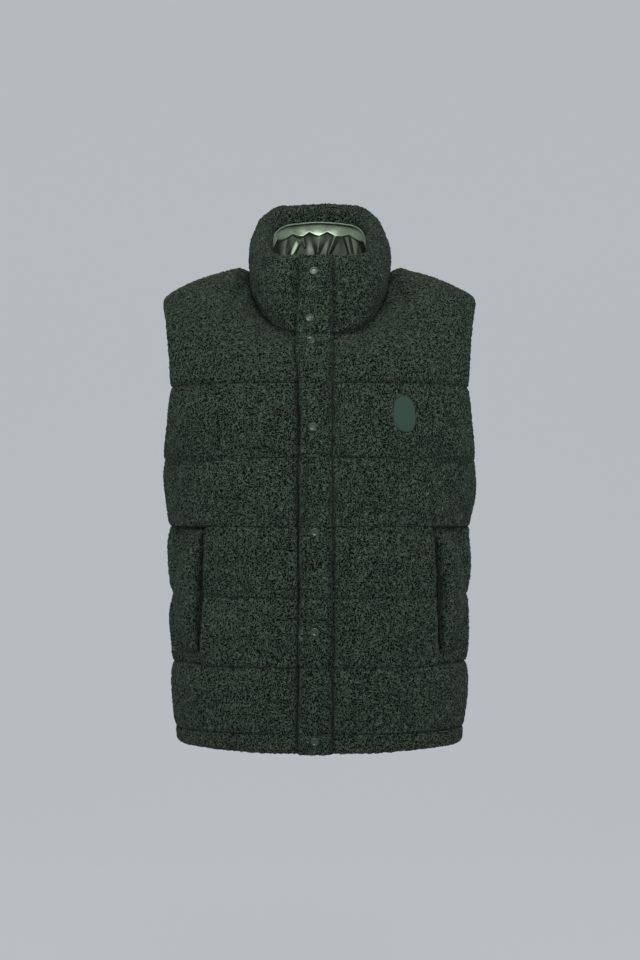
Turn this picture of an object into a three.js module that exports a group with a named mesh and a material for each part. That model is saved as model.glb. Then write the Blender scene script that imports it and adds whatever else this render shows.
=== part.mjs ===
// A quilted puffer vest of teddy fleece, worn, with a padded stand collar, a snap placket and side pockets.
// Millimetres. x runs to the wearer's left, y from chest to back, and heights are measured up from the hem.
// Every panel is a padded wall: a plain inner face, and an outer face that rises between the quilting seams.
import * as THREE from "three";

// Driving dimensions
const SHOULDER_HEIGHT = 605; // hem to the inside of the shoulders, where the wearer carries the vest
const SEAM_GAP = 0.15; // each piece stops this far short of a seam
const REST_GAP = 0.4; // a piece that lies on another is this far above it
const SEAM_WALL = 10; // wall thickness along a quilting seam
const SIDE_WALL = 10; // wall thickness at the side seams and the armhole edges
const SHOULDER_WALL = 12; // wall thickness at the shoulder seams
const CROWN_WALL = 18; // wall thickness in the middle of a quilted channel
const COVERED_WALL = 4.5; // wall thickness under the placket and under the pocket pieces
const SQUARENESS = 0.62; // how far the body's cross-section is from round (0.55) towards square

// The body's stitched lines, hem first. Widths and depths are those of the plain inner face.
const LEVELS = [
  { height: 0, halfWidth: 180, chest: 113, back: 104 },
  { height: 26, halfWidth: 183, chest: 114, back: 104 },
  { height: 112, halfWidth: 187, chest: 116, back: 101 },
  { height: 202, halfWidth: 188, chest: 117, back: 98 },
  { height: 293, halfWidth: 191, chest: 119, back: 100 },
  { height: 383, halfWidth: 197.5, chest: 121, back: 107 },
  { height: 479, halfWidth: 197.5, chest: 118, back: 113 },
];
const UNDERARM_LEVEL = 5; // the armholes open above this line
const YOKE_LEVEL = 6; // the chest line, below the shoulders

// Armhole and shoulder
const ARMHOLE_TOP = { halfWidth: 207, height: 586 };
const ARMHOLE_SHARE_AT_YOKE = 0.47; // how much of the armhole curve lies below the chest line
const ARMHOLE_FRONT = { lowWidth: 190, highWidth: 186, depth: 90, flare: 16, turn: 34 };
const ARMHOLE_BACK = { lowWidth: 191, highWidth: 186, depth: 80, flare: 16, turn: 36 };

// Neck seam and collar, inner face. Front depth is ahead of the shoulder seam, back depth behind it.
const NECK = { halfWidth: 79, front: 98, back: 70, frontHeight: 542, sideHeight: 622, backHeight: 637 };
const NECK_RISE = 1.5; // how late the neck seam climbs from the front to the side
const NECK_WALL = 10;
// The yoke's padding just below the neck seam, its growth a channel down, and its growth along the shoulder
const NECK_TAPER = { wall: 3, rate: 34, along: 16 };
const RIM = { halfWidth: 71, front: 88, back: 72, frontHeight: 636, backHeight: 736 };
const RIM_SQUARENESS = 0.15; // how far the rim's corners stand out from an oval
const RIM_CLIMB = { from: 14, to: 151 }; // the rim is level up to the first angle and from the second one

// Placket: its free edge lies on the right front, its sewn edge on the left front
const PLACKET = { freeEdge: -25.6, sewnEdge: 16.6, thickness: 11, edgeThickness: 6 };
const PLACKET_SLOPE = 15; // the padding beside the placket rises to its full height over this width

// Pockets, between two stitched lines of the body. Places across the front are those seen from the front.
const POCKET = { low: 2, high: 4, innerEdge: 28.6, mouthLow: 148, mouthHigh: 141, mouthWall: 9 };
const STRIP = { low: 2.2, high: 3.88, gap: 6, narrow: 12, wide: 26, edgeWall: 3, crown: 12.5, lift: 0.9 };
const COVERED_SHARE = 0.8; // share of the front's outer stretch that the pocket pieces cover

// Snaps, on the placket: place across, and the row of the body or share of the collar's height
const SNAP = { radius: 5.8, height: 2.2, sides: 12 };
const SNAPS = [
  { name: "snap_1", across: -6, row: 0.69 },
  { name: "snap_2", across: -6, row: 2.52 },
  { name: "snap_3", across: -6, row: 3.94 },
  { name: "snap_4", across: -8.5, row: 5.4 },
  { name: "snap_5", across: -9.5, row: 6.78 },
  { name: "snap_6", across: -10.5, collar: 0.22 },
  { name: "snap_7", across: -6.5, collar: 0.86 },
];

// Blank chest patch on the left front
const PATCH = { column: [9.05, 10.5], row: [5.41, 5.87], thickness: 1.4, corner: 0.3, steps: 6 };

// Places along the front from the centre: first in millimetres, then as shares of the rest up to the edge
const CENTRE_COLUMNS = [0, 9, 17, 22, 26, 31, 42, 56, 72, 90, 108];
const NECK_ANGLES = [0, 6.5, 12.4, 16.2, 19.2, 23.1, 33, 45, 58, 73, 90];
const BACK_COLUMNS = [0, 18, 36, 54, 72, 90, 108];
const BACK_ANGLES = [180, 164, 149, 134, 120, 105, 90];
const OUTER_SHARES = [0.2, 0.4, 0.6, 0.8, 0.93, 1];
const CHANNEL_ROWS = [0.12, 0.35, 0.65, 0.88, 1];
const YOKE_ROWS = [0.08, 0.25, 0.42, 0.58, 0.75, 0.92, 1];

const FLEECE = { color: 0x22332a, roughness: 0.95, metalness: 0 };
const SATIN = { color: 0x5c6f57, roughness: 0.35, metalness: 0 };
const SNAP_FINISH = { color: 0x3c4f45, roughness: 0.5, metalness: 0 };
const PATCH_FINISH = { color: 0x2f4f45, roughness: 0.7, metalness: 0 };

const FRONT = -1;
const BACK = 1;

const vec = (x, y, z) => new THREE.Vector3(x, y, z);
const degrees = (d) => (d * Math.PI) / 180;
const mix = (a, b, t) => a + (b - a) * t;
const mixPoint = (a, b, t) => a.clone().lerp(b, t);
const clamp01 = (t) => Math.min(1, Math.max(0, t));
const smooth = (t) => clamp01(t) ** 2 * (3 - 2 * clamp01(t));

// The direction in which a front reaches its top edge: at the centre, at the neck point and on the shoulder
const YOKE_FRONT = { centre: vec(0, 0.3, 0.95), neck: vec(-0.62, 0.48, 0.62), shoulder: vec(0, 0.97, 0.22) };
// The back comes to the neck seam square on, and less steeply towards the neck point.
const YOKE_BACK = {
  centreSteepness: 35,
  neckSteepness: 14,
  shoulder: vec(0, -0.97, 0.22),
  facing: vec(0, -1, 0.15),
};
const BACK_TURN = 0.8; // how far it turns towards facing at the neck point
const BACK_REACH = { from: 65, more: 0.5 }; // how much further it holds that direction, past a place across

// The value of one named column of a table at a place between its rows, on a smooth curve through them.
function between(table, name, place) {
  const last = table.length - 1;
  const i = Math.min(last - 1, Math.max(0, Math.floor(place)));
  const t = place - i;
  const at = (k) => table[Math.min(last, Math.max(0, k))][name];
  const slope = (k) => (at(k + 1) - at(k - 1)) / 2;
  const [t2, t3] = [t * t, t * t * t];
  return (
    at(i) * (2 * t3 - 3 * t2 + 1) +
    slope(i) * (t3 - 2 * t2 + t) +
    at(i + 1) * (3 * t2 - 2 * t3) +
    slope(i + 1) * (t3 - t2)
  );
}

function heightAt(level) {
  const i = Math.min(LEVELS.length - 2, Math.floor(level));
  return mix(LEVELS[i].height, LEVELS[i + 1].height, level - i);
}

// The armhole edge, an upright oval: share 0 is the top of the side seam and 1 the end of the shoulder seam.
function armhole(side, share) {
  const shape = side === FRONT ? ARMHOLE_FRONT : ARMHOLE_BACK;
  const underarm = LEVELS[UNDERARM_LEVEL];
  return new THREE.CubicBezierCurve3(
    vec(underarm.halfWidth, 0, underarm.height),
    vec(shape.lowWidth, side * shape.depth, underarm.height),
    vec(shape.highWidth, side * shape.depth, ARMHOLE_TOP.height),
    vec(ARMHOLE_TOP.halfWidth, 0, ARMHOLE_TOP.height),
  ).getPoint(share);
}

// One row of a body panel's inner face, from the centre line to the side seam or the armhole edge.
const rowCurves = new Map();
function bodyRow(side, level) {
  const key = side + ":" + level.toFixed(4);
  if (rowCurves.has(key)) return rowCurves.get(key);
  const shape = side === FRONT ? ARMHOLE_FRONT : ARMHOLE_BACK;
  const depth = between(LEVELS, side === FRONT ? "chest" : "back", level);
  const halfWidth = between(LEVELS, "halfWidth", level);
  const height = heightAt(level);
  const above = clamp01(level - UNDERARM_LEVEL);
  const edge = above > 0 ? armhole(side, above * ARMHOLE_SHARE_AT_YOKE) : vec(halfWidth, 0, height);
  const handle = vec(
    -above * shape.flare,
    side * mix(SQUARENESS * depth, shape.turn, above),
    0,
  );
  const curve = new THREE.CubicBezierCurve3(
    vec(0, side * depth, height),
    vec(SQUARENESS * halfWidth, side * depth, height),
    edge.clone().add(handle),
    edge,
  );
  curve.arcLengthDivisions = 120;
  rowCurves.set(key, curve);
  return curve;
}

// The neck seam's inner line, by the angle round the neck from the centre front.
function neckPoint(angle) {
  const a = degrees(angle);
  const climb = NECK.sideHeight - NECK.frontHeight;
  const settle = NECK.backHeight - NECK.sideHeight;
  const height =
    angle <= 90
      ? NECK.frontHeight + climb * (1 - Math.cos(a)) ** NECK_RISE
      : NECK.sideHeight + settle * Math.cos(a) ** 2;
  return vec(NECK.halfWidth * Math.sin(a), -(angle <= 90 ? NECK.front : NECK.back) * Math.cos(a), height);
}

// The direction of the seam face between the panels and the collar.
function neckMitre(angle) {
  const a = degrees(angle);
  const tilt = angle <= 90 ? mix(0.18, 0.75, Math.sin(a) ** 2) : mix(0.35, 0.75, Math.sin(a) ** 2);
  return vec(Math.sin(a), -Math.cos(a), tilt).normalize();
}

// The normal of that seam face, pointing up into the collar.
function neckSeamUp(angle) {
  const along = neckPoint(angle + 1).sub(neckPoint(angle - 1));
  return along.cross(neckMitre(angle)).normalize().negate();
}

function rimPoint(angle) {
  const a = degrees(angle);
  const share = smooth((angle - RIM_CLIMB.from) / (RIM_CLIMB.to - RIM_CLIMB.from));
  const depth = angle <= 90 ? RIM.front : RIM.back;
  const corner = 1 + RIM_SQUARENESS * Math.sin(2 * a) ** 2;
  return vec(
    RIM.halfWidth * corner * Math.sin(a),
    -depth * corner * Math.cos(a),
    mix(RIM.frontHeight, RIM.backHeight, share),
  );
}

// The direction in which a panel reaches its top edge, by the angle round the neck.
function neckArrival(side, angle) {
  const a = degrees(angle);
  const sideOn = Math.sin(a) ** 2;
  if (side === FRONT) return mixPoint(YOKE_FRONT.centre, YOKE_FRONT.neck, sideOn);
  const steepness = degrees(mix(YOKE_BACK.centreSteepness, YOKE_BACK.neckSteepness, sideOn));
  const level = Math.cos(steepness);
  const square = vec(-Math.sin(a) * level, Math.cos(a) * level, Math.sin(steepness));
  return square.lerp(YOKE_BACK.facing, BACK_TURN * sideOn ** 2);
}

// A point of the panel's inner face. level runs past the yoke line to top, the neck and shoulder seams.
function panelPoint(side, column, level, top) {
  const centre = side === FRONT ? CENTRE_COLUMNS : BACK_COLUMNS;
  const angles = side === FRONT ? NECK_ANGLES : BACK_ANGLES;
  const neckColumn = centre.length - 1;
  const onRow = (l) => {
    const curve = bodyRow(side, l);
    const length = curve.getLength();
    const along =
      column <= neckColumn
        ? centre[column]
        : mix(centre[neckColumn], length, OUTER_SHARES[column - neckColumn - 1]);
    return curve.getPointAt(clamp01(along / length));
  };
  if (level <= YOKE_LEVEL) return onRow(level);

  const low = onRow(YOKE_LEVEL);
  const below = onRow(YOKE_LEVEL - 0.04);
  const shoulderEnd = vec(ARMHOLE_TOP.halfWidth, 0, ARMHOLE_TOP.height);
  const onShoulder = column - neckColumn - 1;
  const high =
    column <= neckColumn
      ? neckPoint(angles[column])
      : mixPoint(neckPoint(90), shoulderEnd, OUTER_SHARES[onShoulder]);
  const { shoulder: atShoulder } = side === FRONT ? YOKE_FRONT : YOKE_BACK;
  const arriving =
    column <= neckColumn
      ? neckArrival(side, angles[column])
      : mixPoint(neckArrival(side, 90).normalize(), atShoulder, smooth(OUTER_SHARES[onShoulder] * 1.6));
  const across = centre[Math.min(column, neckColumn)];
  const held = smooth((across - BACK_REACH.from) / (centre[neckColumn] - BACK_REACH.from));
  const reach = side === FRONT ? 1 : 1 + BACK_REACH.more * held;
  const span = low.distanceTo(high);
  const leaving = low.clone().sub(below).normalize().multiplyScalar(span);
  arriving.normalize().multiplyScalar(span * reach);
  const t = (level - YOKE_LEVEL) / (top - YOKE_LEVEL);
  const [t2, t3] = [t * t, t * t * t];
  return low
    .multiplyScalar(2 * t3 - 3 * t2 + 1)
    .addScaledVector(leaving, t3 - 2 * t2 + t)
    .addScaledVector(high, 3 * t2 - 2 * t3)
    .addScaledVector(arriving, t3 - t2);
}

const channelPuff = (level) => Math.sin(Math.PI * clamp01(level - Math.floor(level))) ** 0.6;

// How far a place is out of the placket's cover, from 0 under it to 1 where the padding is full.
function clearOfPlacket(across) {
  const out = across < 0 ? -across + PLACKET.freeEdge - 0.4 : across - PLACKET.sewnEdge - 0.4;
  return Math.sin((Math.PI / 2) * clamp01(out / PLACKET_SLOPE)) ** 0.8;
}

// Wall thickness of a half panel at one of its grid places.
function wallThickness(side, hand, column, level, top, lastColumn, neckColumn) {
  const hemBand = level < 1;
  const puff = hemBand ? 0.3 : level >= top ? 0 : channelPuff(level);
  const seam = level > top - 0.5 ? SHOULDER_WALL : SEAM_WALL;
  const edge = mix(SEAM_WALL, SIDE_WALL + 1, puff);
  let wall = mix(level <= YOKE_LEVEL ? SEAM_WALL : seam, CROWN_WALL, puff);
  if (column === lastColumn) wall = edge;
  if (column === lastColumn - 1) wall = mix(edge, wall, 0.72);
  if (level >= top) wall = column <= neckColumn ? NECK_WALL : mix(SHOULDER_WALL, edge, column === lastColumn);
  const share = column <= neckColumn ? 0 : OUTER_SHARES[column - neckColumn - 1];
  if (level < top)
    wall = Math.min(wall, NECK_TAPER.wall + NECK_TAPER.rate * (top - level) + NECK_TAPER.along * share);
  if (side === FRONT) {
    const inPocket = level >= POCKET.low - 1e-6 && level <= POCKET.high + 1e-6;
    const coveredColumn = neckColumn + 1 + OUTER_SHARES.indexOf(COVERED_SHARE);
    if (inPocket && column <= coveredColumn) wall = COVERED_WALL;
    if (inPocket && column === coveredColumn + 1) wall = mix(COVERED_WALL, wall, 0.5);
    const across = hand * CENTRE_COLUMNS[Math.min(column, neckColumn)];
    wall = mix(COVERED_WALL, wall, clearOfPlacket(across));
  }
  return wall;
}

// A half panel as a grid: inner points, normals and thicknesses. hand is -1 for the wearer's right.
function halfPanel(side, hand) {
  const centre = side === FRONT ? CENTRE_COLUMNS : BACK_COLUMNS;
  const angles = side === FRONT ? NECK_ANGLES : BACK_ANGLES;
  const neckColumn = centre.length - 1;
  const lastColumn = neckColumn + OUTER_SHARES.length;
  const top = side === FRONT ? 7 : 8;
  const rows = [0, 0.5, 1];
  for (let level = 1; level < YOKE_LEVEL; level += 1) CHANNEL_ROWS.forEach((f) => rows.push(level + f));
  if (side === FRONT) YOKE_ROWS.forEach((f) => rows.push(YOKE_LEVEL + f));
  else [6, 7].forEach((level) => CHANNEL_ROWS.forEach((f) => rows.push(level + f)));

  // Draws each place above the chest line towards its neighbours, or the yoke would fold at the neck point.
  const evened = (grid) =>
    grid.map((row, r) =>
      row.map((value, c) => {
        const inside = rows[r] > YOKE_LEVEL && r < rows.length - 1 && c > 0 && c < lastColumn;
        if (!inside) return value;
        const around = [row[c - 1], row[c + 1], grid[r - 1][c], grid[r + 1][c]];
        const sum = around.reduce((total, next) => total.add(next), value.clone().multiplyScalar(4));
        return sum.divideScalar(8);
      }),
    );
  const cut = rows.map((level) => {
    const row = [];
    for (let column = 0; column <= lastColumn; column += 1) row.push(panelPoint(side, column, level, top));
    return row;
  });
  const inner = side === FRONT ? cut : evened(evened(cut));
  const drawn = inner.map((row, r) =>
    row.map((point, c) => {
      const acrossRow = row[Math.min(c + 1, lastColumn)].clone().sub(row[Math.max(c - 1, 0)]);
      const upColumn = inner[Math.min(r + 1, rows.length - 1)][c].clone().sub(inner[Math.max(r - 1, 0)][c]);
      const normal = side === FRONT ? acrossRow.cross(upColumn) : upColumn.cross(acrossRow);
      if (c === 0) normal.x = 0;
      const atSideSeam = c === lastColumn && rows[r] <= UNDERARM_LEVEL;
      const atTop = r === rows.length - 1;
      if (atSideSeam || (atTop && c > neckColumn)) normal.y = 0;
      return atTop && c <= neckColumn ? neckMitre(angles[c]) : normal.normalize();
    }),
  );
  const normals = evened(evened(evened(drawn))).map((row) => row.map((normal) => normal.normalize()));
  const walls = rows.map((level) =>
    inner[0].map((_, c) => wallThickness(side, hand, c, level, top, lastColumn, neckColumn)),
  );

  // Each edge that meets another piece stops short of the seam.
  const seated = inner.map((row, r) =>
    row.map((point, c) => {
      const p = point.clone();
      const atTop = r === rows.length - 1;
      if (atTop && c <= neckColumn) p.addScaledVector(neckSeamUp(angles[c]), -SEAM_GAP);
      const atSeamPlane = (c === lastColumn && rows[r] <= UNDERARM_LEVEL) || (atTop && c >= neckColumn);
      if (atSeamPlane) p.y = side * SEAM_GAP;
      if (side === FRONT && c === 0) p.x = SEAM_GAP;
      return p;
    }),
  );
  const outer = seated.map((row, r) =>
    row.map((point, c) => point.clone().addScaledVector(normals[r][c], walls[r][c])),
  );
  return { rows, inner: seated, normals, walls, outer, hand, side, lastColumn, neckColumn };
}

const mirror = (point) => vec(-point.x, point.y, point.z);

// A closed wall from two grids of points with the same rows and columns.
function wallMesh(name, finish, inner, outer) {
  const rows = inner.length;
  const columns = inner[0].length;
  const inside = (r, c) => r * columns + c;
  const outside = (r, c) => rows * columns + r * columns + c;
  const index = [];
  const points = [...inner.flat(), ...outer.flat()];
  const apart = (a, b) => points[a].distanceTo(points[b]);
  const quad = (a, b, c, d) => {
    if (apart(a, c) <= apart(b, d)) index.push(a, b, c, a, c, d);
    else index.push(a, b, d, b, c, d);
  };
  for (let r = 0; r < rows - 1; r += 1)
    for (let c = 0; c < columns - 1; c += 1) {
      quad(outside(r, c), outside(r, c + 1), outside(r + 1, c + 1), outside(r + 1, c));
      quad(inside(r, c), inside(r + 1, c), inside(r + 1, c + 1), inside(r, c + 1));
    }
  for (let c = 0; c < columns - 1; c += 1) {
    quad(inside(0, c), inside(0, c + 1), outside(0, c + 1), outside(0, c));
    quad(outside(rows - 1, c), outside(rows - 1, c + 1), inside(rows - 1, c + 1), inside(rows - 1, c));
  }
  for (let r = 0; r < rows - 1; r += 1) {
    quad(outside(r, 0), outside(r + 1, 0), inside(r + 1, 0), inside(r, 0));
    const last = columns - 1;
    quad(inside(r, last), inside(r + 1, last), outside(r + 1, last), outside(r, last));
  }
  return closedMesh(name, finish, points.flatMap((p) => [p.x, p.y, p.z]), index);
}

// A mesh whose faces point outwards, whichever way its points were listed.
function closedMesh(name, finish, positions, index) {
  let volume = 0;
  const at = (i) => vec(positions[3 * i], positions[3 * i + 1], positions[3 * i + 2]);
  for (let i = 0; i < index.length; i += 3)
    volume += at(index[i]).dot(at(index[i + 1]).cross(at(index[i + 2])));
  if (volume < 0)
    for (let i = 0; i < index.length; i += 3) [index[i + 1], index[i + 2]] = [index[i + 2], index[i + 1]];
  const geometry = new THREE.BufferGeometry();
  geometry.setAttribute("position", new THREE.Float32BufferAttribute(positions, 3));
  geometry.setIndex(index);
  geometry.computeVertexNormals();
  const mesh = new THREE.Mesh(geometry, new THREE.MeshStandardMaterial(finish));
  mesh.name = name;
  return mesh;
}

const vest = new THREE.Group();
vest.position.z = -SHOULDER_HEIGHT;

// Fronts and back
const fronts = { right: halfPanel(FRONT, -1), left: halfPanel(FRONT, 1) };
const flip = (grid) => grid.map((row) => row.map(mirror));
vest.add(wallMesh("front_right", FLEECE, flip(fronts.right.inner), flip(fronts.right.outer)));
vest.add(wallMesh("front_left", FLEECE, fronts.left.inner, fronts.left.outer));

const backHalf = halfPanel(BACK, 1);
const wholeBack = (grid) =>
  grid.map((row) => [...row.slice(1).reverse().map(mirror), ...row]);
vest.add(wallMesh("back", FLEECE, wholeBack(backHalf.inner), wholeBack(backHalf.outer)));

// Collar. Its columns follow the neck seam's, from the right centre front round the back to the left.
const HALF_ANGLES = [...NECK_ANGLES, ...BACK_ANGLES.slice(0, -1).reverse()];
const COLLAR_COLUMNS = [
  ...HALF_ANGLES.map((angle) => ({ angle, hand: -1 })),
  ...HALF_ANGLES.slice(0, -1).reverse().map((angle) => ({ angle, hand: 1 })),
];
const ROLL_DEPTH = 27; // how far the fleece comes down inside the collar's top edge
// up is a share of the collar's height, down is millimetres below its top edge, out is away from the neck
const COLLAR_OUTER = [
  { out: NECK_WALL, up: 0 },
  { out: 14.5, up: 0.14 },
  { out: 17.5, up: 0.34 },
  { out: 20.5, up: 0.55 },
  { out: 19, up: 0.74 },
  { out: 15.5, up: 0.88 },
  { out: 10.5, up: 0.96 },
  { out: 5, up: 1 },
];
const COLLAR_INNER = [
  { out: 0, up: 0 },
  { out: 0, up: 0.25 },
  { out: 0, up: 0.45 },
  { out: 0, down: ROLL_DEPTH },
  { out: -7, down: ROLL_DEPTH - 1.5 },
  { out: -8.5, down: 15 },
  { out: -6, down: 6 },
  { out: -1, down: 1.2 },
];

// A point in the collar: angle round the neck, share of the height and distance out from its inner face.
function collarPoint({ angle, hand }, up, out) {
  const base = neckPoint(angle).addScaledVector(neckSeamUp(angle), SEAM_GAP);
  const point = base.lerp(rimPoint(angle), up);
  const a = degrees(angle);
  const level = vec(Math.sin(a), -Math.cos(a), 0);
  const direction = mixPoint(neckMitre(angle), level, clamp01(up / 0.3)).normalize();
  point.addScaledVector(direction, out);
  if (angle === 0) point.x = SEAM_GAP;
  return hand < 0 ? mirror(point) : point;
}

const collarHeight = (angle) => neckPoint(angle).distanceTo(rimPoint(angle));
const shareUp = (entry, angle) => entry.up ?? 1 - entry.down / collarHeight(angle);

function collarGrid(profile, thinned) {
  return profile.map((entry) =>
    COLLAR_COLUMNS.map((column) => {
      const across = column.hand * NECK.halfWidth * Math.sin(degrees(column.angle));
      const full = column.angle > 60 ? 1 : clearOfPlacket(across);
      const covered = Math.min(entry.out, COVERED_WALL);
      const out = thinned ? mix(covered, entry.out, full) : entry.out;
      return collarPoint(column, shareUp(entry, column.angle), out);
    }),
  );
}
vest.add(wallMesh("collar_shell", FLEECE, collarGrid(COLLAR_INNER, false), collarGrid(COLLAR_OUTER, true)));

// Satin lining of the collar, gathered into soft puffs. Its columns lie on and midway between the shell's.
const LINING_ROWS = [
  { share: 0, wall: 4 },
  { share: 0.25, wall: 7 },
  { share: 0.5, wall: 8.5 },
  { share: 0.75, wall: 8 },
  { share: 1, wall: 5.6 },
];
const LINING_GAP = 0.7;
const LINING_GATHER = 2.2; // height of a gather
const GATHERS = 11; // gathers from the centre front to the centre back
const liningPlaces = COLLAR_COLUMNS.flatMap((column, i) =>
  i < COLLAR_COLUMNS.length - 1 ? [{ i, t: 0 }, { i, t: 0.5 }] : [{ i: i - 1, t: 1 }],
);
function liningGrid(wallOf) {
  return LINING_ROWS.map((row) =>
    liningPlaces.map(({ i, t }) => {
      const ends = [COLLAR_COLUMNS[i], COLLAR_COLUMNS[i + 1]].map((column) => {
        const top = 1 - (ROLL_DEPTH + 0.9) / collarHeight(column.angle);
        return collarPoint(column, row.share * top, -LINING_GAP - wallOf(row, column.angle, i + t));
      });
      return mixPoint(ends[0], ends[1], t);
    }),
  );
}
const gather = (row, place) => {
  const phase = (place / HALF_ANGLES.length) * GATHERS * 2 * Math.PI + 2 * row.share;
  return LINING_GATHER * row.wall * 0.11 * Math.sin(phase);
};
vest.add(
  wallMesh(
    "collar_lining",
    SATIN,
    liningGrid((row, angle, place) => row.wall + (row.share < 1 ? gather(row, place) : 0)),
    liningGrid(() => 0),
  ),
);

// Piping along the lining's top edge: a thin cord of six sides from one end of the collar to the other.
const PIPING = { radius: 1.4, sides: 6, out: -8.3, down: 27.1 };
function pipingMesh() {
  const centres = COLLAR_COLUMNS.map((column) =>
    collarPoint(column, 1 - PIPING.down / collarHeight(column.angle), PIPING.out),
  );
  const positions = [];
  const index = [];
  centres.forEach((centre, i) => {
    const ahead = centres[Math.min(i + 1, centres.length - 1)];
    const along = ahead.clone().sub(centres[Math.max(i - 1, 0)]).normalize();
    const outward = along.clone().cross(vec(0, 0, 1)).normalize();
    const up = outward.clone().cross(along);
    for (let k = 0; k < PIPING.sides; k += 1) {
      const a = (2 * Math.PI * k) / PIPING.sides;
      const p = centre
        .clone()
        .addScaledVector(outward, PIPING.radius * Math.cos(a))
        .addScaledVector(up, PIPING.radius * Math.sin(a));
      positions.push(p.x, p.y, p.z);
    }
  });
  const n = PIPING.sides;
  for (let i = 0; i < centres.length - 1; i += 1)
    for (let k = 0; k < n; k += 1) {
      const [a, b] = [i * n + k, i * n + ((k + 1) % n)];
      index.push(a, b, b + n, a, b + n, a + n);
    }
  const end = (centres.length - 1) * n;
  for (let k = 1; k < n - 1; k += 1) {
    index.push(0, k + 1, k);
    index.push(end, end + k, end + k + 1);
  }
  return closedMesh("collar_piping", SATIN, positions, index);
}
vest.add(pipingMesh());

// A place on a front's grid, by column and row counted in grid steps, moved out along the wall.
function onFront(front, column, row, out) {
  const c = Math.min(Math.floor(column), front.lastColumn - 1);
  const r = Math.min(Math.floor(row), front.rows.length - 2);
  const blend = (grid) =>
    mixPoint(
      mixPoint(grid[r][c], grid[r][c + 1], column - c),
      mixPoint(grid[r + 1][c], grid[r + 1][c + 1], column - c),
      row - r,
    );
  const point = blend(front.inner).addScaledVector(blend(front.normals).normalize(), out);
  return front.hand < 0 ? mirror(point) : point;
}

// The grid step at which a list of rising values reaches a value.
function stepAt(values, value) {
  let i = 0;
  while (i < values.length - 2 && values[i + 1] < value) i += 1;
  return i + (value - values[i]) / (values[i + 1] - values[i]);
}
const columnAt = (across) => stepAt(CENTRE_COLUMNS, Math.abs(across));
const rowAt = (level) => stepAt(fronts.left.rows, level);

// Placket: it lies over both fronts and the collar, and keeps their rows.
const PLACKET_COLUMNS = [
  { across: PLACKET.freeEdge, wall: PLACKET.edgeThickness },
  { across: -22, wall: 10 },
  { across: -17, wall: PLACKET.thickness },
  { across: -9, wall: PLACKET.thickness },
  { across: 0, wall: PLACKET.thickness },
  { across: 9, wall: PLACKET.thickness },
  { across: 13, wall: 10 },
  { across: PLACKET.sewnEdge, wall: PLACKET.edgeThickness },
];
const PLACKET_DIP = 2.5; // the quilting seams run on faintly across the placket
const PLACKET_COLLAR_SHARES = [0.14, 0.34, 0.55, 0.74, 0.88, 0.985];
const placketLift = COVERED_WALL + REST_GAP;
function placketPoint(across, level, collarShare, wall) {
  const out = placketLift + wall;
  if (collarShare === undefined)
    return onFront(across < 0 ? fronts.right : fronts.left, columnAt(across), rowAt(level), out);
  const hand = across < 0 ? -1 : 1;
  const column = columnAt(across);
  const c = Math.floor(column);
  const ends = [c, c + 1].map((k) => collarPoint({ angle: NECK_ANGLES[k], hand }, collarShare, out));
  return mixPoint(ends[0], ends[1], column - c);
}
const placketRows = [
  ...fronts.left.rows.map((level) => ({ level })),
  ...PLACKET_COLLAR_SHARES.map((share) => ({ share })),
];
const placketDip = (level) => (level >= 1 && level < 7 ? PLACKET_DIP * (1 - channelPuff(level)) : 0);
const placketGrid = (covering) =>
  placketRows.map(({ level, share }) =>
    PLACKET_COLUMNS.map(({ across, wall }) =>
      placketPoint(across, level, share, covering ? wall - placketDip(level) : 0),
    ),
  );
vest.add(wallMesh("placket", FLEECE, placketGrid(false), placketGrid(true)));

// Pocket panels and strips. A place across the front is turned into a grid column row by row.
function columnAtWidth(front, row, width) {
  const r = Math.min(Math.floor(row), front.rows.length - 2);
  const widths = front.inner[r].map((p, c) => mix(p.x, front.inner[r + 1][c].x, row - r));
  return stepAt(widths, width);
}
const padding = (level) => mix(SEAM_WALL, CROWN_WALL, channelPuff(level)) - placketLift;

// A padded piece on a front: for each row its edges across the front, and its thickness by width.
function padOnFront(name, front, levels, edges, thickness, lift) {
  const rows = levels.map((level) => {
    const row = rowAt(level);
    const [low, high] = edges(level).map((width) => columnAtWidth(front, row, width));
    return { level, row, low, high };
  });
  const firstInside = Math.ceil(Math.min(...rows.map(({ low }) => low)) + 0.1);
  const lastInside = Math.floor(Math.max(...rows.map(({ high }) => high)) - 0.1);
  const inside = [];
  for (let c = firstInside; c <= lastInside; c += 1) inside.push(c);
  const grid = (covering) =>
    rows.map(({ level, row, low, high }) => {
      const rim = Math.min(0.22, (high - low) / 4);
      const kept = inside.map((c) => Math.min(high - rim - 0.02, Math.max(low + rim, c)));
      const columns = [low, ...kept, high - rim / 2, high];
      return columns.map((column, k) => {
        const wall = thickness(level, k, columns.length - 1);
        return onFront(front, column, row, lift + (covering ? wall : 0));
      });
    });
  return wallMesh(name, FLEECE, grid(false), grid(true));
}

const pocketLevels = fronts.left.rows.filter((level) => level >= POCKET.low && level <= POCKET.high);
const seat = (levels) => levels.map((l, i) => l + (i === 0 ? 0.004 : i === levels.length - 1 ? -0.004 : 0));
function pocketEdges(hand) {
  const inner = hand < 0 ? POCKET.innerEdge : POCKET.innerEdge - (-PLACKET.freeEdge - PLACKET.sewnEdge);
  return (level) => [
    inner,
    mix(POCKET.mouthLow, POCKET.mouthHigh, (level - POCKET.low) / (POCKET.high - POCKET.low)),
  ];
}
function pocketThickness(level, k, last) {
  const full = padding(level);
  if (k === 0) return Math.min(full, 3);
  if (k === 1) return mix(3, full, 0.7);
  if (k === last) return Math.min(full, POCKET.mouthWall * 0.55 + 0.4 * (full - 3));
  if (k === last - 1) return mix(full, POCKET.mouthWall, 0.2);
  return full;
}

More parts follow.
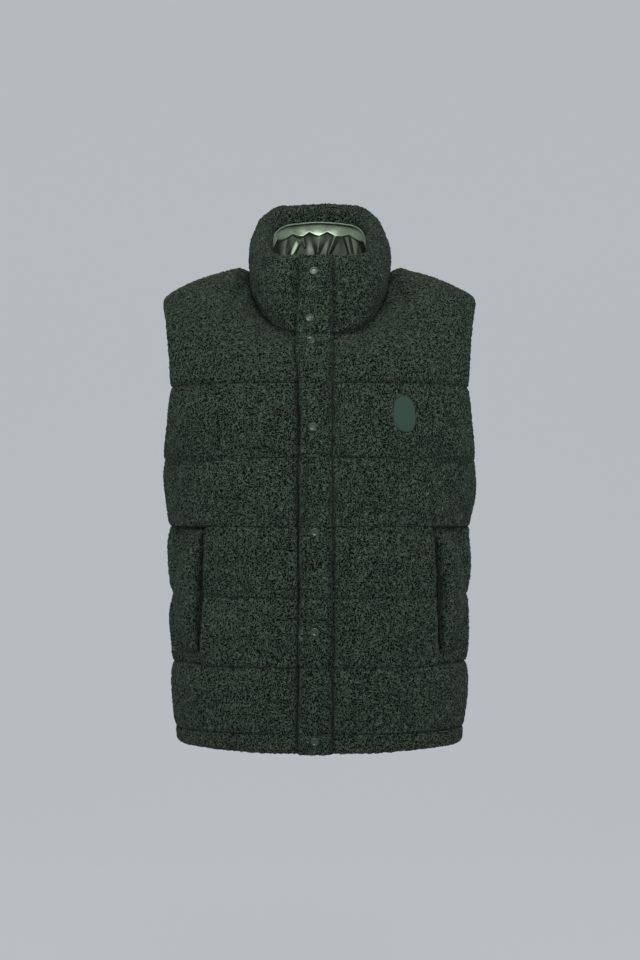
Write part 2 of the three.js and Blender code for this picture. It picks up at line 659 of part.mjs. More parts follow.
function stripEdges(level) {
  const along = (level - STRIP.low) / (STRIP.high - STRIP.low);
  const mouth = mix(POCKET.mouthLow, POCKET.mouthHigh, (level - POCKET.low) / (POCKET.high - POCKET.low));
  const width = mix(STRIP.narrow, STRIP.wide, Math.sin(Math.PI * along) ** 0.7);
  return [mouth + STRIP.gap, mouth + STRIP.gap + width];
}
const besideStrip = pocketLevels.filter((l) => l > STRIP.low + 0.1 && l < STRIP.high - 0.05);
const stripLevels = [STRIP.low, ...besideStrip, STRIP.high];
function stripThickness(level, k, last) {
  const along = (level - STRIP.low) / (STRIP.high - STRIP.low);
  const crown = STRIP.edgeWall + (STRIP.crown - STRIP.edgeWall) * Math.sin(Math.PI * along) ** 0.5;
  return k === 0 || k === last ? STRIP.edgeWall : crown;
}

[
  { word: "right", front: fronts.right },
  { word: "left", front: fronts.left },
].forEach(({ word, front }) => {
  const edges = pocketEdges(front.hand);
  const levels = seat(pocketLevels);
  vest.add(padOnFront("pocket_panel_" + word, front, levels, edges, pocketThickness, placketLift));
  const stripLift = COVERED_WALL + STRIP.lift;
  vest.add(padOnFront("pocket_strip_" + word, front, stripLevels, stripEdges, stripThickness, stripLift));
});

// Snap caps, low turned discs on the placket
function snapMesh({ name, across, row, collar }) {
  const wall = PLACKET.thickness - placketDip(row);
  const centre = placketPoint(across, row, collar, wall);
  const step = collar === undefined ? [0.02, 0] : [0, 0.02];
  const above = placketPoint(across, row + step[0], collar === undefined ? undefined : collar + step[1], wall);
  const beside = placketPoint(across + 2, row, collar, wall);
  const outward = beside.sub(centre).cross(above.sub(centre)).normalize();
  const { radius, height, sides } = SNAP;
  const profile = [
    [0, 0],
    [radius * 0.9, 0],
    [radius, height * 0.3],
    [radius * 0.94, height * 0.8],
    [radius * 0.7, height],
    [radius * 0.55, height * 0.86],
    [0, height * 0.86],
  ].map(([r, z]) => new THREE.Vector2(r, z));
  const mesh = new THREE.Mesh(
    new THREE.LatheGeometry(profile, sides),
    new THREE.MeshStandardMaterial(SNAP_FINISH),
  );
  mesh.quaternion.setFromUnitVectors(vec(0, 1, 0), outward);
  mesh.position.copy(centre).addScaledVector(outward, REST_GAP);
  mesh.name = name;
  return mesh;
}
SNAPS.forEach((snap) => vest.add(snapMesh(snap)));

// Chest patch, a blank rounded plate that follows the left front's padding
function patchMesh() {
  const [left, right] = PATCH.column;
  const [low, high] = PATCH.row.map(rowAt);
  const front = fronts.left;
  const wallAt = (column, row) => {
    const c = Math.floor(column);
    const r = Math.floor(row);
    const w = front.walls;
    return mix(mix(w[r][c], w[r][c + 1], column - c), mix(w[r + 1][c], w[r + 1][c + 1], column - c), row - r);
  };
  const grid = (lift) => {
    const rows = [];
    for (let i = 0; i <= PATCH.steps; i += 1) {
      const q = (2 * i) / PATCH.steps - 1;
      const row = [];
      for (let j = 0; j <= PATCH.steps; j += 1) {
        const p = (2 * j) / PATCH.steps - 1;
        const column = mix(left, right, (1 + p * Math.sqrt(1 - PATCH.corner * q * q)) / 2);
        const place = mix(low, high, (1 + q * Math.sqrt(1 - PATCH.corner * p * p)) / 2);
        row.push(onFront(front, column, place, wallAt(column, place) + REST_GAP + lift));
      }
      rows.push(row);
    }
    return rows;
  };
  return wallMesh("chest_patch", PATCH_FINISH, grid(0.3), grid(0.3 + PATCH.thickness));
}
vest.add(patchMesh());

export default vest;
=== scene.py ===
import bpy
import numpy as np
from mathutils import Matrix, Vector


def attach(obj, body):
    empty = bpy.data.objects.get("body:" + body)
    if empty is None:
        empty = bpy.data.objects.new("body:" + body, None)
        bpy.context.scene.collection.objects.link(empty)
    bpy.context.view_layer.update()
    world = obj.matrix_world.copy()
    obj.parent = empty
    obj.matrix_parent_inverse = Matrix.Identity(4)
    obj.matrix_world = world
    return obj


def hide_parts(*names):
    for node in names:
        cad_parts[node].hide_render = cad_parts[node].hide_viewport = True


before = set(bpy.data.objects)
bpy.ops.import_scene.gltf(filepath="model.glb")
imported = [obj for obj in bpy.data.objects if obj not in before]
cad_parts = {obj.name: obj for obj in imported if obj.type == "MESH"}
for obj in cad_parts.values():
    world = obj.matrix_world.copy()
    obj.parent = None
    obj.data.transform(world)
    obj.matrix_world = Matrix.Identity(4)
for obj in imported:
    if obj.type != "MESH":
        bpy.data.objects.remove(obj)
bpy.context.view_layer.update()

# Body panels: two fronts and one back.
# Each is teddy fleece over wadding, stitched to a satin lining along level quilting seams. The inner face is
# plain, and the outer face swells between the seams and rolls over at the armholes and the hem.
SHOULDER_HEIGHT = 0.605
SEAM_GAP = 0.00015
SEAM_WALL = 0.0115
CROWN_WALL = 0.0178
SHOULDER_WALL = 0.012
SHOULDER_LOFT = 0.013
COVERED_WALL = 0.0045
NECK_WALL = 0.010
SQUARENESS = 0.62
LINE_HEIGHTS = np.array([0, 26, 112, 202, 293, 383, 479]) / 1000
LINE_HALF_WIDTHS = np.array([176, 179, 183, 184, 187, 194, 193.5]) / 1000
LINE_CHESTS = np.array([113, 114, 116, 117, 119, 121, 118]) / 1000
LINE_BACKS = np.array([104, 104, 101, 98, 100, 107, 113]) / 1000
UNDERARM, YOKE = 5, 6
ARMHOLE_TOP = (0.207, 0.586)
NECK_SPAN = 0.108
SIDE_SPAN = 0.145
NECK_STOPS = np.array([0, 9, 17, 22, 26, 31, 42, 56, 72, 90, 108]) / 108
NECK_ANGLES = [0, 6.5, 12.4, 16.2, 19.2, 23.1, 33, 45, 58, 73, 90]
BACK_ANGLES = [180, 164, 149, 134, 120, 105, 90]
NAP_STEP = 0.00135
# Fleece colours: a shaded colour for painted shade in gaps and seams, the base colour, and a lit colour for
# painted highlights on the curl tips.
FLEECE_SHADE = (0.0012, 0.0032, 0.0015, 1)
FLEECE_MID = (0.0185, 0.031, 0.0195, 1)
FLEECE_HIGHLIGHT = (0.092, 0.134, 0.096, 1)
LINING_COLOUR = (0.050, 0.066, 0.048, 1)


def clamp(t):
    return np.clip(t, 0, 1)


def smooth(t):
    return clamp(t) ** 2 * (3 - 2 * clamp(t))


def mix(a, b, t):
    return a + (b - a) * t


def unit(v):
    return v / np.maximum(np.linalg.norm(v, axis=-1, keepdims=True), 1e-12)


def place(x, y, z):
    return np.stack(np.broadcast_arrays(x, y, z), -1).astype(float)


def between(table, at):
    i = np.clip(np.floor(at).astype(int), 0, len(table) - 2)
    t = at - i

    def value(k):
        return table[np.clip(k, 0, len(table) - 1)]

    def slope(k):
        return (value(k + 1) - value(k - 1)) / 2

    return (
        value(i) * (2 * t**3 - 3 * t**2 + 1)
        + slope(i) * (t**3 - 2 * t**2 + t)
        + value(i + 1) * (3 * t**2 - 2 * t**3)
        + slope(i + 1) * (t**3 - t**2)
    )


def bezier(a, b, c, d, t):
    t = np.asarray(t)[..., None]
    return a * (1 - t) ** 3 + 3 * b * t * (1 - t) ** 2 + 3 * c * t**2 * (1 - t) + d * t**3


def lumps(points, size, seed):
    """Smooth noise from -1 to 1 at each point, of waves about `size` long, the same on each run."""
    waves = np.random.default_rng(seed)
    total = np.zeros(points.shape[:-1])
    for _ in range(9):
        along = unit(waves.normal(size=3)) * waves.uniform(0.6, 1.5) * 2 * np.pi / size
        total += np.sin(points @ along + waves.uniform(0, 2 * np.pi))
    return total / 4


def armhole(side, share):
    depth = 0.09 if side < 0 else 0.08
    low = 0.183
    start = np.array([LINE_HALF_WIDTHS[UNDERARM], 0, LINE_HEIGHTS[UNDERARM]])
    end = np.array([ARMHOLE_TOP[0], 0, ARMHOLE_TOP[1]])
    return bezier(
        start,
        np.array([low, side * depth, LINE_HEIGHTS[UNDERARM]]),
        np.array([0.178, side * depth, ARMHOLE_TOP[1]]),
        end,
        share,
    )


def body_row(side, level, along):
    """Inner face at one level. along runs 0 to 1 over the neck span and 1 to 2 from there to the edge."""
    depth = between(LINE_CHESTS if side < 0 else LINE_BACKS, np.array(level))
    half = between(LINE_HALF_WIDTHS, np.array(level))
    height = np.interp(level, range(7), LINE_HEIGHTS)
    above = clamp(level - UNDERARM)
    edge = armhole(side, above * 0.47) if above > 0 else np.array([half, 0, height])
    turn = 0.034 if side < 0 else 0.036
    handle = np.array([-above * 0.016, side * mix(SQUARENESS * depth, turn, above), 0])
    line = bezier(
        np.array([0, side * depth, height]),
        np.array([SQUARENESS * half, side * depth, height]),
        edge + handle,
        edge,
        np.linspace(0, 1, 241),
    )
    run = np.concatenate([[0], np.cumsum(np.linalg.norm(np.diff(line, axis=0), axis=1))])
    wanted = np.where(along <= 1, along * NECK_SPAN, mix(NECK_SPAN, run[-1], along - 1))
    return np.stack([np.interp(wanted, run, line[:, k]) for k in range(3)], -1)


def neck_point(angle):
    a = np.radians(angle)
    front = 0.542 + 0.080 * np.maximum(1 - np.cos(a), 0) ** 1.5
    height = np.where(angle <= 90, front, 0.622 + 0.015 * np.cos(a) ** 2)
    return place(0.079 * np.sin(a), -np.where(angle <= 90, 0.098, 0.070) * np.cos(a), height)


def neck_mitre(angle):
    a = np.radians(angle)
    tilt = np.where(angle <= 90, mix(0.18, 0.75, np.sin(a) ** 2), mix(0.35, 0.75, np.sin(a) ** 2))
    return unit(place(np.sin(a), -np.cos(a), tilt))


def panel_face(side, levels, along, top):
    """Inner points and outward normals of half a panel, on the wearer's left."""
    rows = [body_row(side, level, along) for level in levels[levels <= YOKE]]
    low = body_row(side, YOKE, along)
    below = body_row(side, YOKE - 0.04, along)
    angles = np.interp(along, NECK_STOPS, NECK_ANGLES)
    if side > 0:
        angles = np.interp(along, np.linspace(0, 1, 7), BACK_ANGLES)
    shoulder = clamp(along - 1)[:, None]
    end = np.array([ARMHOLE_TOP[0], 0, ARMHOLE_TOP[1]])
    high = np.where(along[:, None] <= 1, neck_point(angles), mix(neck_point(np.array(90.0)), end, shoulder))
    turn = np.radians(angles)[:, None]
    side_on = np.sin(turn) ** 2
    if side < 0:
        arriving = mix(np.array([0, 0.3, 0.95]), np.array([-0.62, 0.48, 0.62]), side_on)
    else:
        steep = np.radians(mix(35, 14, side_on))
        flat = np.cos(steep)
        arriving = np.concatenate([-np.sin(turn) * flat, np.cos(turn) * flat, np.sin(steep)], axis=1)
        arriving = mix(arriving, np.array([0, -1, 0.15]), 0.8 * side_on**2)
    over_shoulder = np.array([0, -0.99 * side, 0.10])
    out = mix(arriving[np.argmin(np.abs(along - 1))], over_shoulder, smooth(shoulder * 1.6))
    arriving = unit(np.where(along[:, None] <= 1, arriving, out))
    span = np.linalg.norm(high - low, axis=1)[:, None]
    reach = 1 + 0.5 * smooth((along[:, None] - 0.6) / 0.4) * (side > 0)
    for level in levels[levels > YOKE]:
        t = (level - YOKE) / (top - YOKE)
        rows.append(
            low * (2 * t**3 - 3 * t**2 + 1)
            + unit(low - below) * span * (t**3 - 2 * t**2 + t)
            + high * (3 * t**2 - 2 * t**3)
            + arriving * span * reach * (t**3 - t**2)
        )
    inner = np.array(rows)
    across = np.gradient(inner, axis=1)
    up = np.gradient(inner, axis=0)
    normals = unit(np.cross(across, up) if side < 0 else np.cross(up, across))
    near_centre = smooth(1 - along / 0.12)[None, :]
    normals[..., 0] *= 1 - near_centre
    share = clamp(along - 1)[None, :]
    at_side = smooth((share - 0.88) / 0.12) * smooth(1 - (levels - UNDERARM) / 0.35)[:, None]
    at_top = smooth((levels - top + 0.22) / 0.22)[:, None]
    at_shoulder = at_top * smooth((along - 0.9) / 0.1)[None, :]
    normals[..., 1] *= 1 - np.maximum(at_side, at_shoulder)
    at_neck = (at_top * smooth((1.1 - along) / 0.1)[None, :])[..., None]
    normals = unit(mix(unit(normals), neck_mitre(angles)[None], at_neck))
    return inner, normals, at_neck[..., 0]


def channel_puff(level):
    return np.maximum(np.sin(np.pi * (level - np.floor(level))), 0) ** 0.6


def clear_of_placket(across):
    out = np.where(across < 0, -across - 0.026, across - 0.017)
    return np.sin(np.pi / 2 * clamp(out / 0.015)) ** 0.8


def panel_wall(side, hand, levels, along, top, at_neck):
    """Thickness of the padded wall at each place of half a panel."""
    level, run = np.meshgrid(levels, along, indexing="ij")
    share = clamp(run - 1)
    puff = np.where(level < 1, 0.34 * np.sin(np.pi * clamp(level)) ** 0.5, channel_puff(level))
    puff = np.where(level >= top, 0, puff)
    seam = mix(SEAM_WALL, SHOULDER_WALL, smooth((level - top + 1) / 1) * (level > top - 1))
    wall = mix(seam, CROWN_WALL, puff)
    edge = mix(SEAM_WALL, SEAM_WALL + 0.001, puff)
    inside = np.sin(np.pi / 2 * clamp((1 - share) / 0.13)) ** 0.7
    wall = mix(edge, wall, inside)
    taper = 0.003 + 0.034 * (top - level) + 0.016 * share
    wall = -np.log(np.exp(-900 * wall) + np.exp(-900 * taper)) / 900
    wall = mix(wall, NECK_WALL, at_neck)
    fading = np.cos(np.pi / 2 * share**2.2)
    loft = SHOULDER_WALL + SHOULDER_LOFT * smooth((share - 0.03) / 0.17) * fading
    near_seam = smooth((level - top + 0.62) / 0.6) * (run > 1)
    wall = mix(wall, np.maximum(wall, loft), near_seam)
    if side < 0:
        covered = (level >= 2) & (level <= 4)
        wall = mix(wall, COVERED_WALL, covered * (1 - smooth((share - 0.72) / 0.2)))
        wall = mix(COVERED_WALL, wall, clear_of_placket(hand * np.minimum(run, 1) * NECK_SPAN))
    free = smooth((level - UNDERARM) / 0.12) * clamp((share - 0.94) / 0.06)
    wall = wall * (0.42 + 0.58 * np.sqrt(1 - free**2))
    hem = clamp(1 - level / 0.28)
    return wall * (0.4 + 0.6 * np.sqrt(1 - hem**2))


def seam_marks(levels, along, top):
    """1 on a quilting seam, falling to 0 beside it, and the same for its puckers."""
    level = np.meshgrid(levels, along, indexing="ij")[0]
    away = np.abs(level - np.round(level)) * 0.09
    sewn = (np.round(level) >= 1) & (np.round(level) < top)
    away = np.where(np.round(level) > YOKE, away * 1.6, away)
    return np.exp(-((away / 0.0016) ** 2)) * sewn, np.exp(-((away / 0.013) ** 2)) * sewn


def quads_of(corner):
    return np.stack([corner[:-1, :-1], corner[:-1, 1:], corner[1:, 1:], corner[1:, :-1]], -1).reshape(-1, 4)


def grid_faces(rows, columns, start=0, turned=False):
    quads = quads_of(np.arange(rows * columns).reshape(rows, columns) + start)
    return quads[:, ::-1] if turned else quads


def make_piece(name, points, faces, materials, **values):
    """A mesh object from points and face arrays, turned to face outwards. Heights are from the hem."""
    fans = [np.concatenate([f[:, [0, k, k + 1]] for k in range(1, f.shape[1] - 1)]) for f in faces]
    triangles = np.concatenate(fans)
    a, b, c = (points[triangles[:, k]] for k in range(3))
    if np.einsum("ij,ij->i", a, np.cross(b, c)).sum() < 0:
        faces = [f[:, ::-1] for f in faces]
    mesh = bpy.data.meshes.new(name)
    mesh.vertices.add(len(points))
    mesh.vertices.foreach_set("co", (points - [0, 0, SHOULDER_HEIGHT]).astype(np.float32).ravel())
    corners = np.concatenate([f.ravel() for f in faces])
    sizes = np.concatenate([np.full(len(f), f.shape[1]) for f in faces])
    mesh.loops.add(len(corners))
    mesh.loops.foreach_set("vertex_index", corners.astype(np.int32))
    mesh.polygons.add(len(sizes))
    mesh.polygons.foreach_set("loop_start", np.concatenate([[0], np.cumsum(sizes)[:-1]]).astype(np.int32))
    mesh.polygons.foreach_set("use_smooth", np.ones(len(sizes), bool))
    mesh.update(calc_edges=True)
    for key, value in values.items():
        attribute = mesh.attributes.new(key, "FLOAT", "POINT")
        attribute.data.foreach_set("value", value.astype(np.float32).ravel())
    for material in materials:
        mesh.materials.append(material)
    piece = bpy.data.objects.new(name, mesh)
    bpy.context.scene.collection.objects.link(piece)
    return piece


def wall_piece(name, inner, outer, every, materials, **values):
    """A closed padded wall: a fine outer face, and an inner face that keeps one point in `every`."""
    rows, columns = outer.shape[:2]
    kept_rows = [*range(0, rows - 1, every), rows - 1]
    kept_columns = [*range(0, columns - 1, every), columns - 1]
    inside = inner[np.ix_(kept_rows, kept_columns)]
    points = np.concatenate([outer.reshape(-1, 3), inside.reshape(-1, 3)])
    start = rows * columns
    far = np.arange(start).reshape(rows, columns)
    near = np.arange(inside.shape[0] * inside.shape[1]).reshape(inside.shape[:2]) + start
    rims = [
        (far[0], near[0], kept_columns),
        (far[-1][::-1], near[-1][::-1], [columns - 1 - k for k in kept_columns[::-1]]),
        (far[:, 0][::-1], near[:, 0][::-1], [rows - 1 - k for k in kept_rows[::-1]]),
        (far[:, -1], near[:, -1], kept_rows),
    ]
    strips = []
    for fine, coarse, stops in rims:
        for k in range(len(stops) - 1):
            a, b = stops[k], stops[k + 1]
            half = (a + b) // 2
            strips.append((coarse[k], coarse[k + 1], fine[half]))
            strips += [(coarse[k], fine[j + 1], fine[j]) for j in range(a, half)]
            strips += [(coarse[k + 1], fine[j + 1], fine[j]) for j in range(half, b)]
    faces = [grid_faces(rows, columns), grid_faces(*inside.shape[:2], start, True), np.array(strips)]
    padded = {k: np.concatenate([v.ravel(), np.zeros(inside[..., 0].size)]) for k, v in values.items()}
    return make_piece(name, points, faces, materials, **padded)


def node(tree, kind, at=(0, 0), inputs=None, **settings):
    made = tree.nodes.new(kind)
    made.location = at
    for key, value in settings.items():
        setattr(made, key, value)
    for key, value in (inputs or {}).items():
        made.inputs[key].default_value = value
    return made


def node_group(name, kind, inputs, outputs):
    """A node group with the named sockets, and its input and output nodes."""
    made = bpy.data.node_groups.new(name, kind)
    for in_out, sockets in (("INPUT", inputs), ("OUTPUT", outputs)):
        for socket, form in sockets.items():
            made.interface.new_socket(socket, in_out=in_out, socket_type="NodeSocket" + form)
    return made, node(made, "NodeGroupInput", (-1400, 0)), node(made, "NodeGroupOutput", (900, 0))


# The fleece's nap as real relief: a nub stands at each cell of a fixed pattern, less where nap is low.
nap, nap_in, nap_out = node_group(
    "Fleece nap",
    "GeometryNodeTree",
    {"Geometry": "Geometry", "Nub Size": "Float", "Nub Height": "Float", "Fleece": "Material"},
    {"Geometry": "Geometry"},
)
nap_place = node(nap, "GeometryNodeInputPosition", (-1200, -200))
nap_rate = node(nap, "ShaderNodeMath", (-1000, -300), operation="DIVIDE", inputs={0: 1})
nap_cells = node(nap, "ShaderNodeTexVoronoi", (-800, -200), voronoi_dimensions="3D", feature="F1")
nap_curl = node(nap, "ShaderNodeTexNoise", (-800, -500), noise_dimensions="3D", inputs={"Scale": 210})
nap_dome = node(
    nap, "ShaderNodeMapRange", (-600, -200), interpolation_type="SMOOTHSTEP",
    inputs={"From Min": 0.72, "From Max": 0.08},
)
nap_loft = node(nap, "ShaderNodeMath", (-400, -350), operation="MULTIPLY_ADD", inputs={1: 0.7})
# The nub height is also stored as the tuft attribute, which the fleece shader uses to paint shade between
# the nubs.
nap_tuft = node(
    nap, "GeometryNodeStoreNamedAttribute", (50, 0), data_type="FLOAT", domain="POINT",
    inputs={"Name": "tuft"},
)
nap_mask = node(
    nap, "GeometryNodeInputNamedAttribute", (-600, -650), data_type="FLOAT", inputs={"Name": "nap"}
)
nap_height = node(nap, "ShaderNodeMath", (-200, -350), operation="MULTIPLY")
nap_scaled = node(nap, "ShaderNodeMath", (-50, -350), operation="MULTIPLY")
nap_normal = node(nap, "GeometryNodeInputNormal", (-200, -600))
nap_offset = node(nap, "ShaderNodeVectorMath", (100, -350), operation="SCALE")
nap_move = node(nap, "GeometryNodeSetPosition", (250, 0))
nap_real = node(nap, "GeometryNodeRealizeInstances", (350, 0))
nap_faces = node(
    nap, "FunctionNodeCompare", (250, -650), data_type="FLOAT", operation="GREATER_THAN",
    inputs={1: 0.05},
)
nap_dress = node(nap, "GeometryNodeSetMaterial", (450, 0))
for a, b in (
    (nap_in.outputs["Nub Size"], nap_rate.inputs[1]),
    (nap_place.outputs[0], nap_cells.inputs["Vector"]),
    (nap_rate.outputs[0], nap_cells.inputs["Scale"]),
    (nap_place.outputs[0], nap_curl.inputs["Vector"]),
    (nap_cells.outputs["Distance"], nap_dome.inputs["Value"]),
    (nap_curl.outputs[0], nap_loft.inputs[0]),
    (nap_dome.outputs["Result"], nap_loft.inputs[2]),
    (nap_loft.outputs[0], nap_height.inputs[0]),
    (nap_mask.outputs["Attribute"], nap_height.inputs[1]),
    (nap_height.outputs[0], nap_scaled.inputs[0]),
    (nap_in.outputs["Nub Height"], nap_scaled.inputs[1]),
    (nap_normal.outputs[0], nap_offset.inputs[0]),
    (nap_scaled.outputs[0], nap_offset.inputs["Scale"]),
    (nap_in.outputs["Geometry"], nap_tuft.inputs["Geometry"]),
    (nap_loft.outputs[0], nap_tuft.inputs["Value"]),
    (nap_tuft.outputs[0], nap_move.inputs["Geometry"]),
    (nap_offset.outputs[0], nap_move.inputs["Offset"]),
    (nap_move.outputs[0], nap_real.inputs[0]),
    (nap_real.outputs[0], nap_dress.inputs["Geometry"]),
    (nap_mask.outputs["Attribute"], nap_faces.inputs[0]),
    (nap_faces.outputs[0], nap_dress.inputs["Selection"]),
    (nap_in.outputs["Fleece"], nap_dress.inputs["Material"]),
    (nap_dress.outputs[0], nap_out.inputs[0]),
):
    nap.links.new(a, b)

# The yarn's curls for the shader, as height and tone: thin winding ridges, with painted shade in the gaps
# between them and between the nubs of the real relief.
boucle, boucle_in, boucle_out = node_group(
    "Boucle curls",
    "ShaderNodeTree",
    {"Vector": "Vector", "Curls per Metre": "Float", "Tuft": "Float"},
    {"Height": "Float", "Tone": "Float"},
)
boucle_warp = node(boucle, "ShaderNodeTexNoise", (-1200, -200), inputs={"Scale": 330})
boucle_shift = node(
    boucle, "ShaderNodeVectorMath", (-1000, -200), operation="MULTIPLY_ADD",
    inputs={1: (0.0024, 0.0024, 0.0024)},
)
boucle_noise = node(boucle, "ShaderNodeTexNoise", (-800, 0), inputs={"Detail": 0})
boucle_ridge = node(boucle, "ShaderNodeMath", (-600, 0), operation="SUBTRACT", inputs={1: 0.5})
boucle_fold = node(boucle, "ShaderNodeMath", (-450, 0), operation="ABSOLUTE")
boucle_curl = node(
    boucle, "ShaderNodeMapRange", (-300, 0), interpolation_type="SMOOTHSTEP",
    inputs={"From Min": 0.17, "From Max": 0.0},
)
boucle_yarn = node(boucle, "ShaderNodeTexNoise", (-600, -350), inputs={"Scale": 1100})
boucle_relief = node(boucle, "ShaderNodeMath", (-100, -100), operation="MULTIPLY_ADD", inputs={1: 0.3})
boucle_patchy = node(boucle, "ShaderNodeTexNoise", (-600, -600), inputs={"Scale": 55})
boucle_share = node(
    boucle, "ShaderNodeMapRange", (-100, -350),
    inputs={"From Min": 0.25, "From Max": 1.35, "To Min": 0.6, "To Max": 1.0},
)
boucle_tone = node(boucle, "ShaderNodeMath", (150, -200), operation="MULTIPLY")
boucle_lift = node(boucle, "ShaderNodeMapRange", (150, -500), inputs={"To Min": 0.85, "To Max": 1.15})
boucle_level = node(boucle, "ShaderNodeMath", (400, -250), operation="MULTIPLY")
for a, b in (
    (boucle_in.outputs["Vector"], boucle_warp.inputs["Vector"]),
    (boucle_warp.outputs["Color"], boucle_shift.inputs[0]),
    (boucle_in.outputs["Vector"], boucle_shift.inputs[2]),
    (boucle_shift.outputs[0], boucle_noise.inputs["Vector"]),
    (boucle_in.outputs["Curls per Metre"], boucle_noise.inputs["Scale"]),
    (boucle_noise.outputs[0], boucle_ridge.inputs[0]),
    (boucle_ridge.outputs[0], boucle_fold.inputs[0]),
    (boucle_fold.outputs[0], boucle_curl.inputs["Value"]),
    (boucle_in.outputs["Vector"], boucle_yarn.inputs["Vector"]),
    (boucle_in.outputs["Vector"], boucle_patchy.inputs["Vector"]),
    (boucle_yarn.outputs[0], boucle_relief.inputs[0]),
    (boucle_curl.outputs["Result"], boucle_relief.inputs[2]),
    (boucle_in.outputs["Tuft"], boucle_share.inputs["Value"]),
    (boucle_relief.outputs[0], boucle_tone.inputs[0]),
    (boucle_share.outputs["Result"], boucle_tone.inputs[1]),
    (boucle_patchy.outputs[0], boucle_lift.inputs["Value"]),
    (boucle_tone.outputs[0], boucle_level.inputs[0]),
    (boucle_lift.outputs["Result"], boucle_level.inputs[1]),
    (boucle_relief.outputs[0], boucle_out.inputs["Height"]),
    (boucle_level.outputs[0], boucle_out.inputs["Tone"]),
):
    boucle.links.new(a, b)


def cloth_material(name, colour, roughness, **sockets):
    made = bpy.data.materials.new(name)
    made.use_nodes = True
    tree = made.node_tree
    shader = tree.nodes["Principled BSDF"]
    shader.inputs["Base Color"].default_value = colour
    shader.inputs["Roughness"].default_value = roughness
    for key, value in sockets.items():
        shader.inputs[key.replace("_", " ")].default_value = value
    made.diffuse_color = colour
    return made, tree, shader


fleece, tree, shader = cloth_material(
    "Dark green teddy fleece",
    FLEECE_MID,
    0.95,
    Sheen_Weight=0.08,
    Sheen_Roughness=0.5,
    Sheen_Tint=(0.75, 0.85, 0.72, 1),
    Specular_IOR_Level=0.15,
)
where = node(tree, "ShaderNodeTexCoord", (-1200, 0))
nubs = node(tree, "ShaderNodeGroup", (-950, 0), node_tree=boucle, inputs={"Curls per Metre": 350})
tuft = node(tree, "ShaderNodeAttribute", (-1200, -250), attribute_name="tuft")
# Painted shade and highlight: the tone runs from a shaded colour in the gaps to a lit colour on the tips of
# the curls.
shades = node(tree, "ShaderNodeValToRGB", (-700, 100))
shades.color_ramp.elements[0].position = 0.1
shades.color_ramp.elements[0].color = FLEECE_SHADE
shades.color_ramp.elements[1].position = 1.0
shades.color_ramp.elements[1].color = FLEECE_HIGHLIGHT
middle = shades.color_ramp.elements.new(0.45)
middle.color = FLEECE_MID
# Painted shade: an attribute set on each piece mixes the fleece toward its shaded colour at seams, in
# crevices and beside the placket's free edge.
crease = node(tree, "ShaderNodeAttribute", (-700, 400), attribute_name="crease")
shadow = node(tree, "ShaderNodeMix", (-350, 200), data_type="RGBA", inputs={"B": FLEECE_SHADE})
relief = node(tree, "ShaderNodeBump", (-350, -200), inputs={"Strength": 0.9, "Distance": 0.0016})
tree.links.new(where.outputs["Object"], nubs.inputs["Vector"])
tree.links.new(tuft.outputs["Fac"], nubs.inputs["Tuft"])
tree.links.new(nubs.outputs["Tone"], shades.inputs["Fac"])
tree.links.new(shades.outputs["Color"], shadow.inputs["A"])
tree.links.new(crease.outputs["Fac"], shadow.inputs["Factor"])
tree.links.new(shadow.outputs["Result"], shader.inputs["Base Color"])
tree.links.new(nubs.outputs["Height"], relief.inputs["Height"])
tree.links.new(relief.outputs["Normal"], shader.inputs["Normal"])

# Satin weave and creases, for the lining inside the body and, crumpled more, inside the collar.
crumple, crumple_in, crumple_out = node_group(
    "Satin crumple",
    "ShaderNodeTree",
    {"Vector": "Vector", "Creases per Metre": "Float"},
    {"Height": "Float"},
)
crumple_soft = node(
    crumple, "ShaderNodeTexNoise", (-650, 100), noise_type="RIDGED_MULTIFRACTAL", inputs={"Detail": 2}
)
crumple_weave = node(crumple, "ShaderNodeTexNoise", (-650, -250), inputs={"Scale": 1600})
crumple_sum = node(crumple, "ShaderNodeMath", (-200, 0), operation="MULTIPLY_ADD", inputs={1: 0.03})
for a, b in (
    (crumple_in.outputs["Vector"], crumple_soft.inputs["Vector"]),
    (crumple_in.outputs["Creases per Metre"], crumple_soft.inputs["Scale"]),
    (crumple_in.outputs["Vector"], crumple_weave.inputs["Vector"]),
    (crumple_weave.outputs[0], crumple_sum.inputs[0]),
    (crumple_soft.outputs[0], crumple_sum.inputs[2]),
    (crumple_sum.outputs[0], crumple_out.inputs["Height"]),
):
    crumple.links.new(a, b)


def shade_of(colour, share):
    return tuple(share * c for c in colour[:3]) + (1,)


